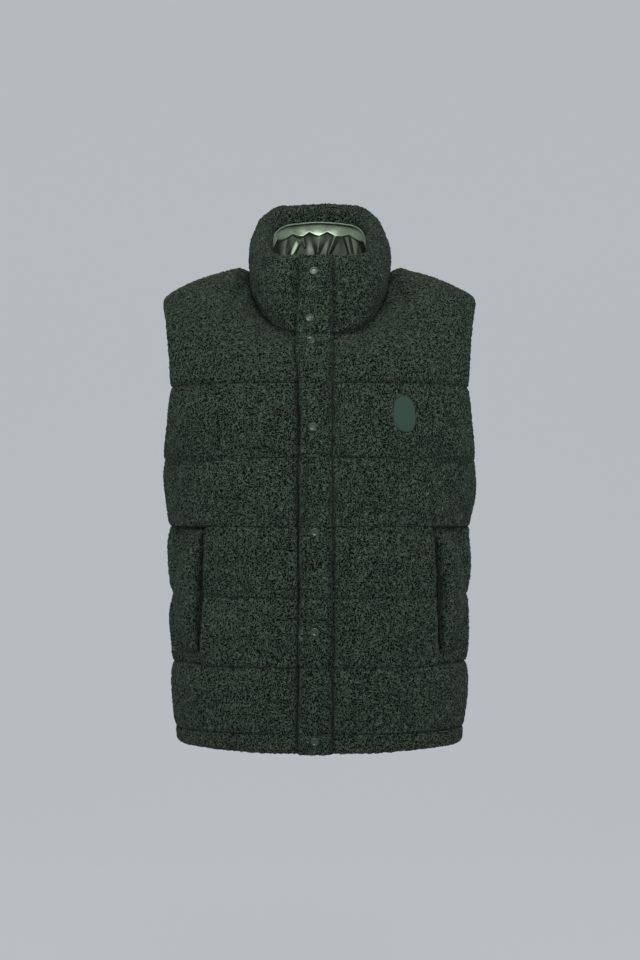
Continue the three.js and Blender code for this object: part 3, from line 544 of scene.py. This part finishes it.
def satin_material(name, colour, roughness, creases, depth, **sockets):
    made, tree, shader = cloth_material(name, colour, roughness, **sockets)
    where = node(tree, "ShaderNodeTexCoord", (-900, 0))
    folds = node(
        tree, "ShaderNodeGroup", (-650, 0), node_tree=crumple, inputs={"Creases per Metre": creases}
    )
    relief = node(tree, "ShaderNodeBump", (-350, -200), inputs={"Strength": 0.6, "Distance": depth})
    cloudy = node(tree, "ShaderNodeTexNoise", (-650, 300), inputs={"Scale": 35})
    tint = node(
        tree, "ShaderNodeMix", (-350, 200), data_type="RGBA",
        inputs={"A": shade_of(colour, 0.8), "B": shade_of(colour, 1.2)},
    )
    tree.links.new(where.outputs["Object"], folds.inputs["Vector"])
    tree.links.new(where.outputs["Object"], cloudy.inputs["Vector"])
    tree.links.new(folds.outputs["Height"], relief.inputs["Height"])
    tree.links.new(cloudy.outputs[0], tint.inputs["Factor"])
    # Painted shade: an attribute mixes the satin toward a much darker copy of its colour.
    gloom = node(tree, "ShaderNodeAttribute", (-350, 450), attribute_name="gloom")
    shaded_satin = node(
        tree, "ShaderNodeMix", (-150, 300), data_type="RGBA",
        inputs={"B": shade_of(colour, 0.12)},
    )
    tree.links.new(tint.outputs["Result"], shaded_satin.inputs["A"])
    tree.links.new(gloom.outputs["Fac"], shaded_satin.inputs["Factor"])
    tree.links.new(shaded_satin.outputs["Result"], shader.inputs["Base Color"])
    tree.links.new(relief.outputs["Normal"], shader.inputs["Normal"])
    return made


body_lining = satin_material("Body lining satin", LINING_COLOUR, 0.42, 30, 0.0012, Specular_IOR_Level=0.6)


def give_nap(piece, size=0.0029, height=0.0015):
    """Raises the nubs on a piece's fleece and leaves it a plain mesh."""
    modifier = piece.modifiers.new("Nap", "NODES")
    modifier.node_group = nap
    sockets = {s.name: s.identifier for s in nap.interface.items_tree if s.in_out == "INPUT"}
    modifier[sockets["Nub Size"]] = size
    modifier[sockets["Nub Height"]] = height
    modifier[sockets["Fleece"]] = fleece
    seen = piece.evaluated_get(bpy.context.evaluated_depsgraph_get())
    mesh = bpy.data.meshes.new_from_object(seen)
    piece.modifiers.clear()
    piece.data = mesh
    return piece


def levels_of(top, step):
    """Levels from the hem to the top edge, about one step apart on the cloth."""
    runs = [*np.diff(LINE_HEIGHTS), *([0.14 / (top - YOKE)] * (top - YOKE))]
    stretches = [np.linspace(i, i + 1, round(run / step), endpoint=False) for i, run in enumerate(runs)]
    return np.concatenate([*stretches, [top]])


def body_panel(name, side, hands, step, every, seed):
    top = 7 if side < 0 else 8
    levels = levels_of(top, step)
    under_neck = np.linspace(0, 1, round(NECK_SPAN / step), endpoint=False)
    along = np.concatenate([under_neck, np.linspace(1, 2, round(SIDE_SPAN / step))])
    inner, normals, at_neck = panel_face(side, levels, along, top)
    inner[..., 1] = np.where(side * inner[..., 1] < SEAM_GAP, side * SEAM_GAP, inner[..., 1])
    inner[..., 2] += (0.001 + 0.0033 * smooth(along - 0.5))[None, :] * clamp(1 - levels)[:, None]
    halves = []
    for hand in hands:
        flip = np.array([hand, 1, 1])
        base, normal = inner * flip, normals * flip
        wall = panel_wall(side, hand, levels, along, top, at_neck)
        crease, pucker = seam_marks(levels, along, top)
        from_centre = clamp(along / 0.04) if side < 0 else 1
        edge = (clamp((2 - along) / 0.06) * from_centre)[None, :]
        wall = wall + 0.0011 * lumps(base, 0.085, seed) * edge * (1 - pucker)
        wall = wall + 0.0008 * lumps(base * np.array([1, 1, 0.25]), 0.021, seed + 1) * pucker * edge
        wall = wall - 0.0011 * crease
        wall = np.maximum(wall, 0.0035)
        outer = base + normal * wall[..., None]
        quilt = channel_puff(np.minimum(levels, top - 1e-6))[:, None, None] * 0.0012 * edge[..., None]
        # Painted shade: the fleece is darkened along the seams, in a shadow beside the placket's free edge,
        # and in the crevice under the collar.
        seam = 0.45 * crease
        if side < 0 and hand < 0:
            beside = np.exp(-(((along * NECK_SPAN - 0.0278) / 0.0031) ** 2))[None, :]
            seam = np.maximum(seam, 0.95 * beside * clamp(0.8 + 0.5 * lumps(base, 0.04, 61)))
        neck_crevice_shade = at_neck ** (3 - 1.7 * smooth((along - 0.5) / 0.3))
        halves.append((base - normal * quilt, outer, np.maximum(seam, 0.85 * neck_crevice_shade), 1 - 0.5 * crease))
    if len(halves) == 2:
        parts = [np.concatenate([a[:, :0:-1], b], axis=1) for a, b in zip(*halves)]
    else:
        parts = halves[0]
    base, outer, crease, fur = parts
    piece = wall_piece(name + "_panel", base, outer, every, [body_lining], crease=crease, nap=fur)
    give_nap(piece)
    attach(piece, "root")
    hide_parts(name)
    return inner, normals, levels, along


body_panel("front_right", -1, [-1], NAP_STEP, 5, 11)
FRONT = body_panel("front_left", -1, [1], NAP_STEP, 5, 12)
body_panel("back", 1, [-1, 1], NAP_STEP * 1.45, 5, 13)


def on_front(hand, run, level, out):
    """A place on a front's wall: along the row, by level, and moved out from the inner face."""
    inner, normals, levels, along = FRONT
    r = np.interp(level, levels, np.arange(len(levels)))
    c = np.interp(run, along, np.arange(len(along)))
    r0 = np.minimum(np.floor(r).astype(int), len(levels) - 2)
    c0 = np.minimum(np.floor(c).astype(int), len(along) - 2)
    fr, fc = (r - r0)[..., None], (c - c0)[..., None]

    def blend(grid):
        low = mix(grid[r0, c0], grid[r0, c0 + 1], fc)
        return mix(low, mix(grid[r0 + 1, c0], grid[r0 + 1, c0 + 1], fc), fr)

    point = blend(inner) + unit(blend(normals)) * np.asarray(out)[..., None]
    return point * np.array([hand, 1, 1])


def run_at_width(level, width):
    """How far along the row the inner face reaches each width from the centre."""
    inner, _, levels, along = FRONT
    rows = np.interp(level, levels, np.arange(len(levels)))
    found = np.empty(np.broadcast(level, width).shape)
    level_rows, widths = np.broadcast_arrays(rows, width)
    for at in np.ndindex(found.shape[:1]):
        r = int(level_rows[at].flat[0])
        found[at] = np.interp(widths[at], inner[r, :, 0], along)
    return found


# Hand pockets: a padded panel on each front, and a padded strip beside its mouth.
# The panel is sewn on along two quilting seams and its inner edge. Its outer edge, the mouth, is a soft roll
# that stands off the front, and the strip outside it bulges past the side of the vest.
POCKET_LOW, POCKET_HIGH = 2, 4
POCKET_INNER = 0.0286
MOUTH_LOW, MOUTH_HIGH = 0.148, 0.141
STRIP_LOW, STRIP_HIGH = 2.2, 3.88
STRIP_GAP, STRIP_NARROW, STRIP_WIDE = 0.006, 0.013, 0.033
REST = COVERED_WALL + 0.0004


def mouth_at(level):
    return mix(MOUTH_LOW, MOUTH_HIGH, (level - POCKET_LOW) / (POCKET_HIGH - POCKET_LOW))


def pad_on_front(name, node_name, hand, levels, edges, wall, lift, count, crease):
    """A padded piece that lies on a front, between two edges given as widths for each level."""
    s = np.linspace(0, 1, count)
    level, share = np.meshgrid(levels, s, indexing="ij")
    low, high = edges(level)
    run = run_at_width(level, mix(low, high, share))
    thick = wall(level, share, high - low)
    under = on_front(hand, run, level, np.full(level.shape, lift))
    over = on_front(hand, run, level, lift + thick)
    marks = crease(level, share)
    piece = wall_piece(name, under, over, 4, [fleece], crease=marks, nap=1 - 0.7 * marks)
    give_nap(piece)
    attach(piece, "root")
    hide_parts(node_name)
    return piece


def pocket_wall(hand):
    def wall(level, share, width):
        full = mix(SEAM_WALL, CROWN_WALL, channel_puff(np.clip(level, 2.0001, 3.9999))) - REST
        x = share * width
        sewn = np.sqrt(1 - (1 - clamp(x / 0.012)) ** 2)
        mouth = np.sqrt(np.maximum(1 - (1 - clamp((width - x) / 0.009)) ** 2, 0))
        roll = 0.0016 * np.exp(-(((width - x - 0.006) / 0.004) ** 2))
        roll = roll - 0.0012 * np.exp(-(((width - x - 0.0135) / 0.004) ** 2))
        ease = 0.0012 * lumps(place(x * 1.0, hand * 0.3, level * 0.09), 0.05, 31)
        ends = clamp((level - 2) / 0.05) * clamp((4 - level) / 0.05)
        return np.maximum(full * (0.2 + 0.8 * sewn) * (0.45 + 0.55 * mouth) + (roll + ease) * ends, 0.0022)

    return wall


def strip_wall(level, share, width):
    along = clamp((level - STRIP_LOW) / (STRIP_HIGH - STRIP_LOW))
    crown = 0.003 + 0.0100 * np.sin(np.pi * along) ** 0.5
    across = np.sin(np.pi * clamp(share)) ** 0.55 + 0.12 * np.exp(-(((share - 0.86) / 0.08) ** 2))
    return np.maximum(0.003 + (crown - 0.003) * across, 0.0022)


def strip_edges(level):
    along = clamp((level - STRIP_LOW) / (STRIP_HIGH - STRIP_LOW))
    inner = mouth_at(level) + STRIP_GAP
    return inner, inner + mix(STRIP_NARROW, STRIP_WIDE, np.sin(np.pi * along) ** 0.7)


# Painted shade along the quilting seam that crosses the pocket.
def quilt_seam_shade(level, share):
    return 0.5 * np.exp(-((np.abs(level - 3) * 0.09 / 0.0018) ** 2)) + 0 * share


# Painted shadow along both long edges of the strip: in the gap beside the pocket mouth and at its outer
# side.
def strip_shade(level, share):
    return 0.75 * np.exp(-((share / 0.1) ** 2)) + 0.6 * np.exp(-(((1 - share) / 0.05) ** 2)) + 0 * level


for hand, word, inner_edge in ((-1, "right", POCKET_INNER), (1, "left", POCKET_INNER - 0.009)):
    rows = np.concatenate([np.linspace(2.004, 3, 54, endpoint=False), np.linspace(3, 3.996, 55)])
    pad_on_front(
        "pocket_" + word,
        "pocket_panel_" + word,
        hand,
        rows,
        lambda level, inner_edge=inner_edge: (inner_edge + 0 * level, mouth_at(level)),
        pocket_wall(hand),
        REST,
        74,
        quilt_seam_shade,
    )
    pad_on_front(
        "pocket_welt_" + word,
        "pocket_strip_" + word,
        hand,
        np.linspace(STRIP_LOW, STRIP_HIGH, 92),
        strip_edges,
        strip_wall,
        COVERED_WALL + 0.0009,
        30,
        strip_shade,
    )

# Collar: a puffy stand collar of the same fleece, folded over its top edge and 27 mm down inside.
# It is one long tube of wadding, open at the centre front under the placket.
RIM_HALF_WIDTH = 0.071
ROLL_DEPTH = 0.027
COLLAR_OUTSIDE = [
    (10, 0),
    (14.5, 0.14),
    (17.5, 0.34),
    (20.5, 0.55),
    (19, 0.74),
    (15.5, 0.88),
    (10.5, 0.96),
    (5, 1),
]
COLLAR_INSIDE = [(-1, 1.2), (-6, 6), (-8.5, 15), (-7, 25.5), (0, 27)]
COLLAR_HIDDEN = [(0, 0.45), (0, 0.25), (0, 0)]
COLLAR_ANGLES = np.concatenate([np.linspace(0, 90, 70, endpoint=False), np.linspace(90, 180, 71)])


def neck_seam_up(angle):
    along = neck_point(angle + 1) - neck_point(angle - 1)
    return -unit(np.cross(along, neck_mitre(angle)))


def rim_point(angle):
    a = np.radians(angle)
    share = smooth((angle - 30) / 116)
    corner = 1 + 0.15 * np.sin(2 * a) ** 2
    depth = np.where(angle <= 90, 0.088, 0.072) * corner
    height = mix(0.647, 0.736, share) - 0.013 * np.sin(a) ** 2 * smooth((angle - 80) / 40)
    return place(RIM_HALF_WIDTH * corner * np.sin(a), -depth * np.cos(a), height)


def collar_height(angle):
    return np.linalg.norm(neck_point(angle) - rim_point(angle), axis=-1)


def collar_point(angle, hand, up, out):
    """A place in the collar: by angle round the neck, share of its height, and distance out."""
    up = np.asarray(up)[..., None]
    point = mix(neck_point(angle) + neck_seam_up(angle) * SEAM_GAP, rim_point(angle), up)
    a = np.radians(angle)
    level = place(np.sin(a), -np.cos(a), 0)
    point = point + unit(mix(neck_mitre(angle), level, clamp(up / 0.3))) * np.asarray(out)[..., None]
    point[..., 0] = np.where(angle < 0.01, SEAM_GAP, point[..., 0])
    return point * place(np.asarray(hand), 1, 1)


def through(table, at):
    return np.stack([between(table[:, k], at) for k in range(table.shape[1])], -1)


def collar_shell():
    angles = np.concatenate([COLLAR_ANGLES, COLLAR_ANGLES[-2::-1]])
    hands = np.concatenate([np.full(len(COLLAR_ANGLES), -1), np.full(len(COLLAR_ANGLES) - 1, 1)])
    heights = collar_height(angles)
    loops = []
    shown = np.concatenate([np.linspace(0, 7, 70, endpoint=False), np.linspace(7, 12, 26)])
    for angle, hand, height in zip(angles, hands, heights):
        inside = [(out, 1 - down / 1000 / height) for out, down in COLLAR_INSIDE]
        ring = np.array([*COLLAR_OUTSIDE, *inside], float)
        ring[:, 0] /= 1000
        profile = through(ring, shown)
        back = np.array([(0, ring[-1, 1]), *COLLAR_HIDDEN], float)
        profile = np.concatenate([profile, back[1:]])
        out, up = profile.T
        across = hand * 0.079 * np.sin(np.radians(angle))
        clear = 1.0 if angle > 60 else float(clear_of_placket(np.array(across)))
        out = np.where(np.arange(len(out)) < 71, mix(np.minimum(out, COVERED_WALL), out, clear), out)
        loops.append(collar_point(np.full(len(out), angle), np.full(len(out), hand), up, out))
    grid = np.array(loops)
    columns, count = grid.shape[:2]
    skin = np.arange(count) < 96
    away = unit(np.cross(np.gradient(grid, axis=0), np.gradient(grid, axis=1)))
    centre = grid.mean(axis=1, keepdims=True)
    away *= np.sign(np.sum(away * (grid - centre), axis=-1, keepdims=True))
    ease = (0.0012 * lumps(grid, 0.06, 21) + 0.0006 * lumps(grid, 0.024, 22)) * skin[None, :]
    ease *= clamp(np.minimum(np.arange(count), 96 - np.arange(count)) / 12)[None, :]
    grid = grid + away * ease[..., None]
    points = grid.reshape(-1, 3)
    corner = np.arange(columns * count).reshape(columns, count)
    wrap = np.concatenate([corner, corner[:, :1]], axis=1)
    quads = quads_of(wrap)
    fur = np.tile(skin.astype(float), (columns, 1))
    fur[:, :3] = 0.3
    # Painted shade: the fleece is darkened along the collar's base at the neck seam, and at the inner end
    # where it meets the lining.
    crease = np.zeros_like(fur)
    crease[:, :3] = 0.8
    crease[:, 93:96] = 0.7
    ends = [corner[0][None, ::-1], corner[-1][None, :]]
    piece = make_piece("collar_fleece", points, [quads, *ends], [fleece], crease=crease, nap=fur)
    give_nap(piece)
    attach(piece, "root")
    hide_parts("collar_shell")


collar_shell()

# Collar lining: sage satin, gathered along both edges, so that it crumples into soft shiny folds.
# Each fold is a ridge between two places, given by angle round the neck and share of the lining's height.
LINING_BACK = np.pi * 0.078
LINING_FOLDS = [
    (-0.003, 0.42, 0.000, 0.80, 16, 2.2),
    (0.008, 0.20, 0.024, 0.74, 7, 1.9),
    (-0.022, 0.55, -0.028, 0.82, 9, 1.2),
    (0.060, 0.15, 0.050, 0.80, 16, 1.3),
    (-0.059, 0.15, -0.050, 0.82, 16, 1.3),
]
SATIN_COLOUR = (0.28, 0.36, 0.26, 1)
collar_satin = satin_material(
    "Collar satin", SATIN_COLOUR, 0.3, 60, 0.0014, Specular_IOR_Level=1.0, Metallic=0.75
)


def collar_lining():
    half = np.linspace(0, 180, 240)
    angles = np.concatenate([half, half[-2::-1]])
    hands = np.concatenate([np.full(len(half), -1), np.full(len(half) - 1, 1)])
    shares = np.linspace(0, 1, 90)
    share, angle = np.meshgrid(shares, angles, indexing="ij")
    hand = np.broadcast_to(hands, share.shape)
    top = 1 - (ROLL_DEPTH + 0.0009) / collar_height(angle)
    around = np.where(hand < 0, angle, 360 - angle)
    arc = np.radians(around) * 0.078
    down = (1 - share) * 0.07
    flat = place(arc, share * 0.07, 0)
    scallop = np.abs(np.sin(np.pi * arc / 0.029 + 0.6 * lumps(flat * np.array([1, 0, 0]), 0.06, 42)))
    puff_depth = 0.0115 + 0.005 * scallop
    puff = 0.75 * down / puff_depth + 0.25 * np.sin(np.pi / 2 * clamp(down / puff_depth))
    folds = np.random.default_rng(5)
    ridges = []
    for middle in np.radians(np.linspace(4, 356, 34)) * 0.078:
        if abs(middle - LINING_BACK) > 0.045:
            low, end = folds.uniform(0, 0.4), middle + folds.uniform(-0.02, 0.02)
            ridges.append((middle, low, end, folds.uniform(0.5, 0.8), folds.uniform(3, 6), 0.7))
    relief = np.zeros(share.shape)
    for start, low, end, high, width, loft in [*ridges, *LINING_FOLDS]:
        shift = LINING_BACK * (loft > 0.7)
        a = np.array([start + shift, low * 0.07, 0])
        b = np.array([end + shift, high * 0.07, 0])
        run = clamp(((flat - a) @ (b - a)) / ((b - a) @ (b - a)))
        away = np.linalg.norm(flat - a - run[..., None] * (b - a), axis=-1)
        relief += loft * np.maximum(1 - away / (width / 1000 * (0.25 + 0.75 * run)), 0) ** 1.2
    free = np.sin(np.pi * clamp(share)) ** 0.5
    wall = 0.0025 + 0.0035 * share + 0.0018 * relief * free + 0.0007 * lumps(flat, 0.035, 41) * free
    under_puff = smooth((down - puff_depth) / 0.0035 + 0.3)
    wall = mix(0.003 + 0.0052 * puff, np.maximum(wall, 0.002), under_puff)
    # Painted shade: below the puff the lining is darkened, less on the raised folds.
    gloom = under_puff * np.clip(0.97 - 0.17 * relief, 0.72, 0.97)
    under = collar_point(angle, hand, share * top, np.full(share.shape, -0.0004))
    over = collar_point(angle, hand, share * top, -0.0004 - wall)
    piece = wall_piece("collar_satin_lining", under, over, 3, [collar_satin], gloom=gloom)
    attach(piece, "root")
    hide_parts("collar_lining")


collar_lining()

# Piping: a thin satin cord sewn in between the fleece band and the lining.
# It runs round the inside of the collar, and shows as one light line.
PIPING_RADIUS = 0.0010
PIPING_DOWN = 0.0271
PIPING_COLOUR = (0.24, 0.29, 0.22, 1)
piping_satin = satin_material("Piping satin", PIPING_COLOUR, 0.4, 400, 0.0003, Specular_IOR_Level=0.7)


def cord_mesh(name, centres, radius, sides, material):
    along = unit(np.gradient(centres, axis=0))
    side = unit(np.cross(along, np.array([0, 0, 1.0])))
    up = np.cross(side, along)
    turn = np.linspace(0, 2 * np.pi, sides, endpoint=False)
    cosine, sine = np.cos(turn)[None, :, None], np.sin(turn)[None, :, None]
    ring = centres[:, None] + radius * (side[:, None] * cosine + up[:, None] * sine)
    corner = np.arange(len(centres) * sides).reshape(-1, sides)
    wrap = np.concatenate([corner, corner[:, :1]], axis=1)
    quads = quads_of(wrap)
    ends = [corner[0][None, ::-1], corner[-1][None, :]]
    return make_piece(name, ring.reshape(-1, 3), [quads, *ends], [material])


piping_angles = np.linspace(0, 180, 120)
piping_angles = np.concatenate([piping_angles, piping_angles[-2::-1]])
piping_hands = np.concatenate([np.full(120, -1), np.full(119, 1)])
piping_up = 1 - PIPING_DOWN / collar_height(piping_angles)
piping = cord_mesh(
    "collar_piping_cord",
    collar_point(piping_angles, piping_hands, piping_up, np.full(239, -0.0083)),
    PIPING_RADIUS,
    8,
    piping_satin,
)
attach(piping, "root")
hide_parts("collar_piping")

# Placket: a padded fleece band over the front opening, from the hem to the collar's top edge.
# It is sewn to the left front, and its free edge lies on the right front under the snaps.
PLACKET_STOPS = (-0.0256, 0.0166)
PLACKET_DIP = 0.0025


def placket_dip(level):
    level = np.asarray(level, float)
    return np.where((level >= 1) & (level < 7), PLACKET_DIP * (1 - channel_puff(level)), 0)


def placket_place(across, level, collar, out):
    """A place on the placket: by its width, and by the body's level or, past 7, the share of the collar."""
    hand = np.where(across < 0, -1.0, 1.0)
    run = np.abs(across) / NECK_SPAN
    low = on_front(1, run, np.minimum(level, 7), REST + out) * place(hand, 1, 1)
    angle = np.interp(run, NECK_STOPS, NECK_ANGLES)
    high = collar_point(angle, hand, collar, REST + out)
    return np.where((level >= 7)[..., None], high, low)


def placket():
    body = np.concatenate([levels_of(7, 0.0017)[:-1], np.full(56, 7.0)])
    shares = np.concatenate([np.zeros(len(body) - 56), np.linspace(0.02, 0.955, 56)])
    across = np.linspace(PLACKET_STOPS[0], PLACKET_STOPS[-1], 27)
    level, wide = np.meshgrid(body, across, indexing="ij")
    share = np.broadcast_to(shares[:, None], level.shape)
    height = np.interp(level, range(8), [*LINE_HEIGHTS, 0.542]) + share * 0.095
    free = clamp((0.0 - wide) / 0.0256)
    waver = 0.0016 * lumps(place(0, 0, height), 0.09, 51) + 0.0010 * lumps(place(0, 0, height), 0.028, 52)
    shifted = wide + waver * free
    bulge = np.abs(2 * (wide - PLACKET_STOPS[0]) / (PLACKET_STOPS[1] - PLACKET_STOPS[0]) - 1)
    wall = 0.0035 + 0.0082 * np.sqrt(np.maximum(1 - bulge**2.8, 0)) - placket_dip(level) * (share < 0.001)
    wall = wall + 0.0013 * lumps(place(wide, 0, height), 0.04, 53) * clamp((1 - bulge) / 0.3)
    hem_roll = np.exp(-(((wide + 0.0218) / 0.0026) ** 2))
    stitched = np.exp(-(((wide + 0.0168) / 0.0013) ** 2)) + np.exp(-(((wide - 0.0118) / 0.0013) ** 2))
    wall = wall + 0.0021 * hem_roll - 0.0014 * stitched * (0.7 + 0.3 * lumps(place(0, 0, height), 0.02, 54))
    wall = wall * (0.35 + 0.65 * np.sqrt(1 - clamp((share - 0.9) / 0.056) ** 2))
    under = placket_place(shifted, level, share, np.zeros(level.shape))
    over = placket_place(shifted, level, share, wall)
    sewn = (np.round(level) >= 1) & (np.round(level) < 7) & (share < 0.001)
    # Painted shade along the quilting seams, the two stitching lines and the sewn edge.
    crease = np.exp(-((np.abs(level - np.round(level)) * 0.09 / 0.0018) ** 2)) * sewn * 0.3
    sewn_edge = PLACKET_STOPS[1] - 0.0004 - 0.0008 * lumps(place(0, 0, height), 0.03, 55) - wide
    crease = np.maximum(crease, np.maximum(0.4 * stitched, 0.95 * np.exp(-((sewn_edge / 0.0016) ** 2))))
    piece = wall_piece("placket_band", under, over, 4, [fleece], crease=crease, nap=1 - 0.5 * crease)
    give_nap(piece)
    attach(piece, "root")
    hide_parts("placket")


placket()

# Snaps: seven round metal caps, painted the colour of the fleece, set through the placket.
# Each is a low turned disc with a rolled rim and a shallow dish.
SNAP_RADIUS, SNAP_HEIGHT = 0.0058, 0.0022
SNAPS = [
    (-6, 0.69, None),
    (-6, 2.52, None),
    (-6, 3.94, None),
    (-8.5, 5.4, None),
    (-9.5, 6.78, None),
    (-10.5, 7, 0.195),
    (-6.5, 7, 0.79),
]
SNAP_COLOUR = (0.024, 0.036, 0.025, 1)


def grained_material(name, colour, dark, light, roughness, scale, strength, depth, **sockets):
    made, tree, shader = cloth_material(name, colour, roughness, **sockets)
    where = node(tree, "ShaderNodeTexCoord", (-900, 0))
    grain = node(tree, "ShaderNodeTexNoise", (-650, 0), {"Scale": scale})
    tint = node(tree, "ShaderNodeMix", (-350, 100), data_type="RGBA", inputs={"A": dark, "B": light})
    relief = node(tree, "ShaderNodeBump", (-350, -200), {"Strength": strength, "Distance": depth})
    tree.links.new(where.outputs["Object"], grain.inputs["Vector"])
    tree.links.new(grain.outputs[0], tint.inputs["Factor"])
    tree.links.new(grain.outputs[0], relief.inputs["Height"])
    tree.links.new(tint.outputs["Result"], shader.inputs["Base Color"])
    tree.links.new(relief.outputs["Normal"], shader.inputs["Normal"])
    return made


snap_paint = grained_material(
    "Painted snap cap",
    SNAP_COLOUR,
    (0.026, 0.040, 0.026, 1),
    (0.044, 0.062, 0.043, 1),
    0.3,
    900,
    0.25,
    0.0003,
    Metallic=0.4,
    Specular_IOR_Level=0.8,
)
SNAP_RADII = np.array([0.9, 0.98, 1.0, 0.98, 0.92, 0.83, 0.74, 0.65, 0.57, 0.45, 0.3, 0.15])
SNAP_RISES = np.array([0.0, 0.16, 0.38, 0.6, 0.82, 0.95, 1.0, 0.95, 0.82, 0.74, 0.76, 0.8])
SNAP_CROWN = 0.82


def snap_cap(number, across, level, collar):
    across = np.array(across / 1000)
    wall = 0.0116 - placket_dip(level) * (collar is None)
    share = np.array(0.0 if collar is None else collar)
    step = 0.02

    def seat(dx, up):
        at_level = np.array(level + (up if collar is None else 0.0), float)
        return placket_place(across + dx, at_level, share + (0 if collar is None else up), wall)

    centre, above, beside = seat(0, 0), seat(0, step), seat(0.002, 0)
    out = unit(np.cross(beside - centre, above - centre))
    side = unit(np.cross(out, np.array([0, 0, 1.0])))
    up = np.cross(side, out)
    turn = np.linspace(0, 2 * np.pi, 32, endpoint=False)
    ring = np.cos(turn)[:, None] * side + np.sin(turn)[:, None] * up
    foot_at, crown_at = centre + out * 0.0004, centre + out * (0.0004 + SNAP_CROWN * SNAP_HEIGHT)
    profile = zip(SNAP_RADII, SNAP_RISES)
    rows = [centre + out * (0.0004 + z * SNAP_HEIGHT) + ring * r * SNAP_RADIUS for r, z in profile]
    points = np.concatenate([*rows, [foot_at], [crown_at]])
    corner = np.arange(len(rows) * 32).reshape(-1, 32)
    wrap = np.concatenate([corner, corner[:, :1]], axis=1)
    quads = quads_of(wrap)
    foot, crown = len(rows) * 32, len(rows) * 32 + 1
    base = np.stack([np.full(32, foot), wrap[0, 1:], wrap[0, :-1]], -1)
    lid = np.stack([np.full(32, crown), wrap[-1, :-1], wrap[-1, 1:]], -1)
    piece = make_piece(f"snap_cap_{number}", points, [quads, base, lid], [snap_paint])
    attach(piece, "root")
    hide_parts(f"snap_{number}")


for number, (across, level, collar) in enumerate(SNAPS, 1):
    snap_cap(number, across, level, collar)

# Chest patch: a blank rounded tab of brushed teal cloth on the left front, sewn on round its edge.
# It follows the padding that it lies on.
PATCH_COLUMNS = (0.858, 1.118)
PATCH_LEVELS = (5.415, 5.845)
PATCH_THICKNESS = 0.0014
patch_cloth = grained_material(
    "Patch cloth",
    (0.027, 0.058, 0.043, 1),
    (0.013, 0.040, 0.027, 1),
    (0.021, 0.054, 0.038, 1),
    0.8,
    1500,
    0.4,
    0.0004,
)


def chest_patch():
    count = 40
    q, p = np.meshgrid(np.linspace(-1, 1, count), np.linspace(-1, 1, count), indexing="ij")
    run = mix(*PATCH_COLUMNS, (1 + p * np.sqrt(1 - 0.42 * q * q)) / 2)
    level = mix(*PATCH_LEVELS, (1 + q * np.sqrt(1 - 0.42 * p * p)) / 2)
    levels = level.ravel()
    wall = mix(SEAM_WALL, CROWN_WALL, channel_puff(levels)).reshape(level.shape)
    edge = 1 - np.maximum(np.abs(q), np.abs(p))
    thick = PATCH_THICKNESS * (0.55 + 0.45 * np.sqrt(1 - (1 - clamp(edge / 0.12)) ** 2))
    thick = thick - 0.0004 * np.exp(-(((edge - 0.14) / 0.03) ** 2))
    under = on_front(1, run, level, wall + 0.0007)
    over = on_front(1, run, level, wall + 0.0007 + thick)
    piece = wall_piece("chest_patch_tab", under, over, 3, [patch_cloth])
    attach(piece, "root")
    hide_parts("chest_patch")


chest_patch()

# Studio: a pale sweep of floor and wall, three soft lights and a low world light.
# The wearer's shoulders would hold the vest at this height, so nothing holds it here.
FLOOR = -1.35
EYE = (0.0007, -2.8, -0.251)
STUDIO_GREY = (0.20, 0.205, 0.212, 1)
turn = np.radians(np.linspace(0, 90, 24))
sweep = [(-6.0, FLOOR), *zip(3 + 2.0 * np.sin(turn), FLOOR + 2.0 * (1 - np.cos(turn))), (5.0, 5.0)]
points = np.array([(x, y, z) for y, z in sweep for x in (-7.0, 7.0)])
corner = np.arange(len(points)).reshape(-1, 2)
mesh = bpy.data.meshes.new("studio_sweep")
pairs = zip(corner[:-1].tolist(), corner[1:].tolist())
mesh.from_pydata(points.tolist(), [], [(a, b, d, c) for (a, b), (c, d) in pairs])
mesh.polygons.foreach_set("use_smooth", np.ones(len(mesh.polygons), bool))
sweep = bpy.data.objects.new("studio_sweep", mesh)
bpy.context.scene.collection.objects.link(sweep)
paper, tree, shader = cloth_material(
    "Pale studio paper", STUDIO_GREY, 0.9, Emission_Color=(0.385, 0.404, 0.426, 1), Emission_Strength=1.0
)
mesh.materials.append(paper)

world = bpy.data.worlds.new("Soft studio")
world.use_nodes = True
world.node_tree.nodes["Background"].inputs["Color"].default_value = (0.300, 0.315, 0.334, 1)
bpy.context.scene.world = world
bpy.context.scene.view_settings.view_transform = "Standard"


def soft_light(name, spot, size, power, spread, aim):
    lamp = bpy.data.lights.new(name, "AREA")
    lamp.shape, lamp.size, lamp.size_y, lamp.energy = "RECTANGLE", size[0], size[1], power
    lamp.spread = np.radians(spread)
    made = bpy.data.objects.new(name, lamp)
    made.location = spot
    away = Vector(spot) - Vector(aim)
    made.rotation_euler = away.to_track_quat("Z", "Y").to_euler()
    bpy.context.scene.collection.objects.link(made)


soft_light("key light", (0.1, -2.3, 1.0), (1.4, 0.9), 3.6, 45, (0, 0, -0.2))
soft_light("left fill", (-2.2, -2.2, 0.8), (1.4, 2.0), 9, 180, (0, 0, -0.25))
soft_light("right fill", (2.2, -2.2, 0.8), (1.4, 2.0), 9, 180, (0, 0, -0.25))

camera = bpy.data.objects.new("camera", bpy.data.cameras.new("camera"))
camera.location = EYE
camera.rotation_euler = (np.pi / 2, 0, 0)
camera.data.sensor_fit = "VERTICAL"
camera.data.sensor_height = 24
camera.data.lens = 12 / 0.23107
camera.data.clip_end = 50
bpy.context.scene.collection.objects.link(camera)
bpy.context.scene.camera = camera
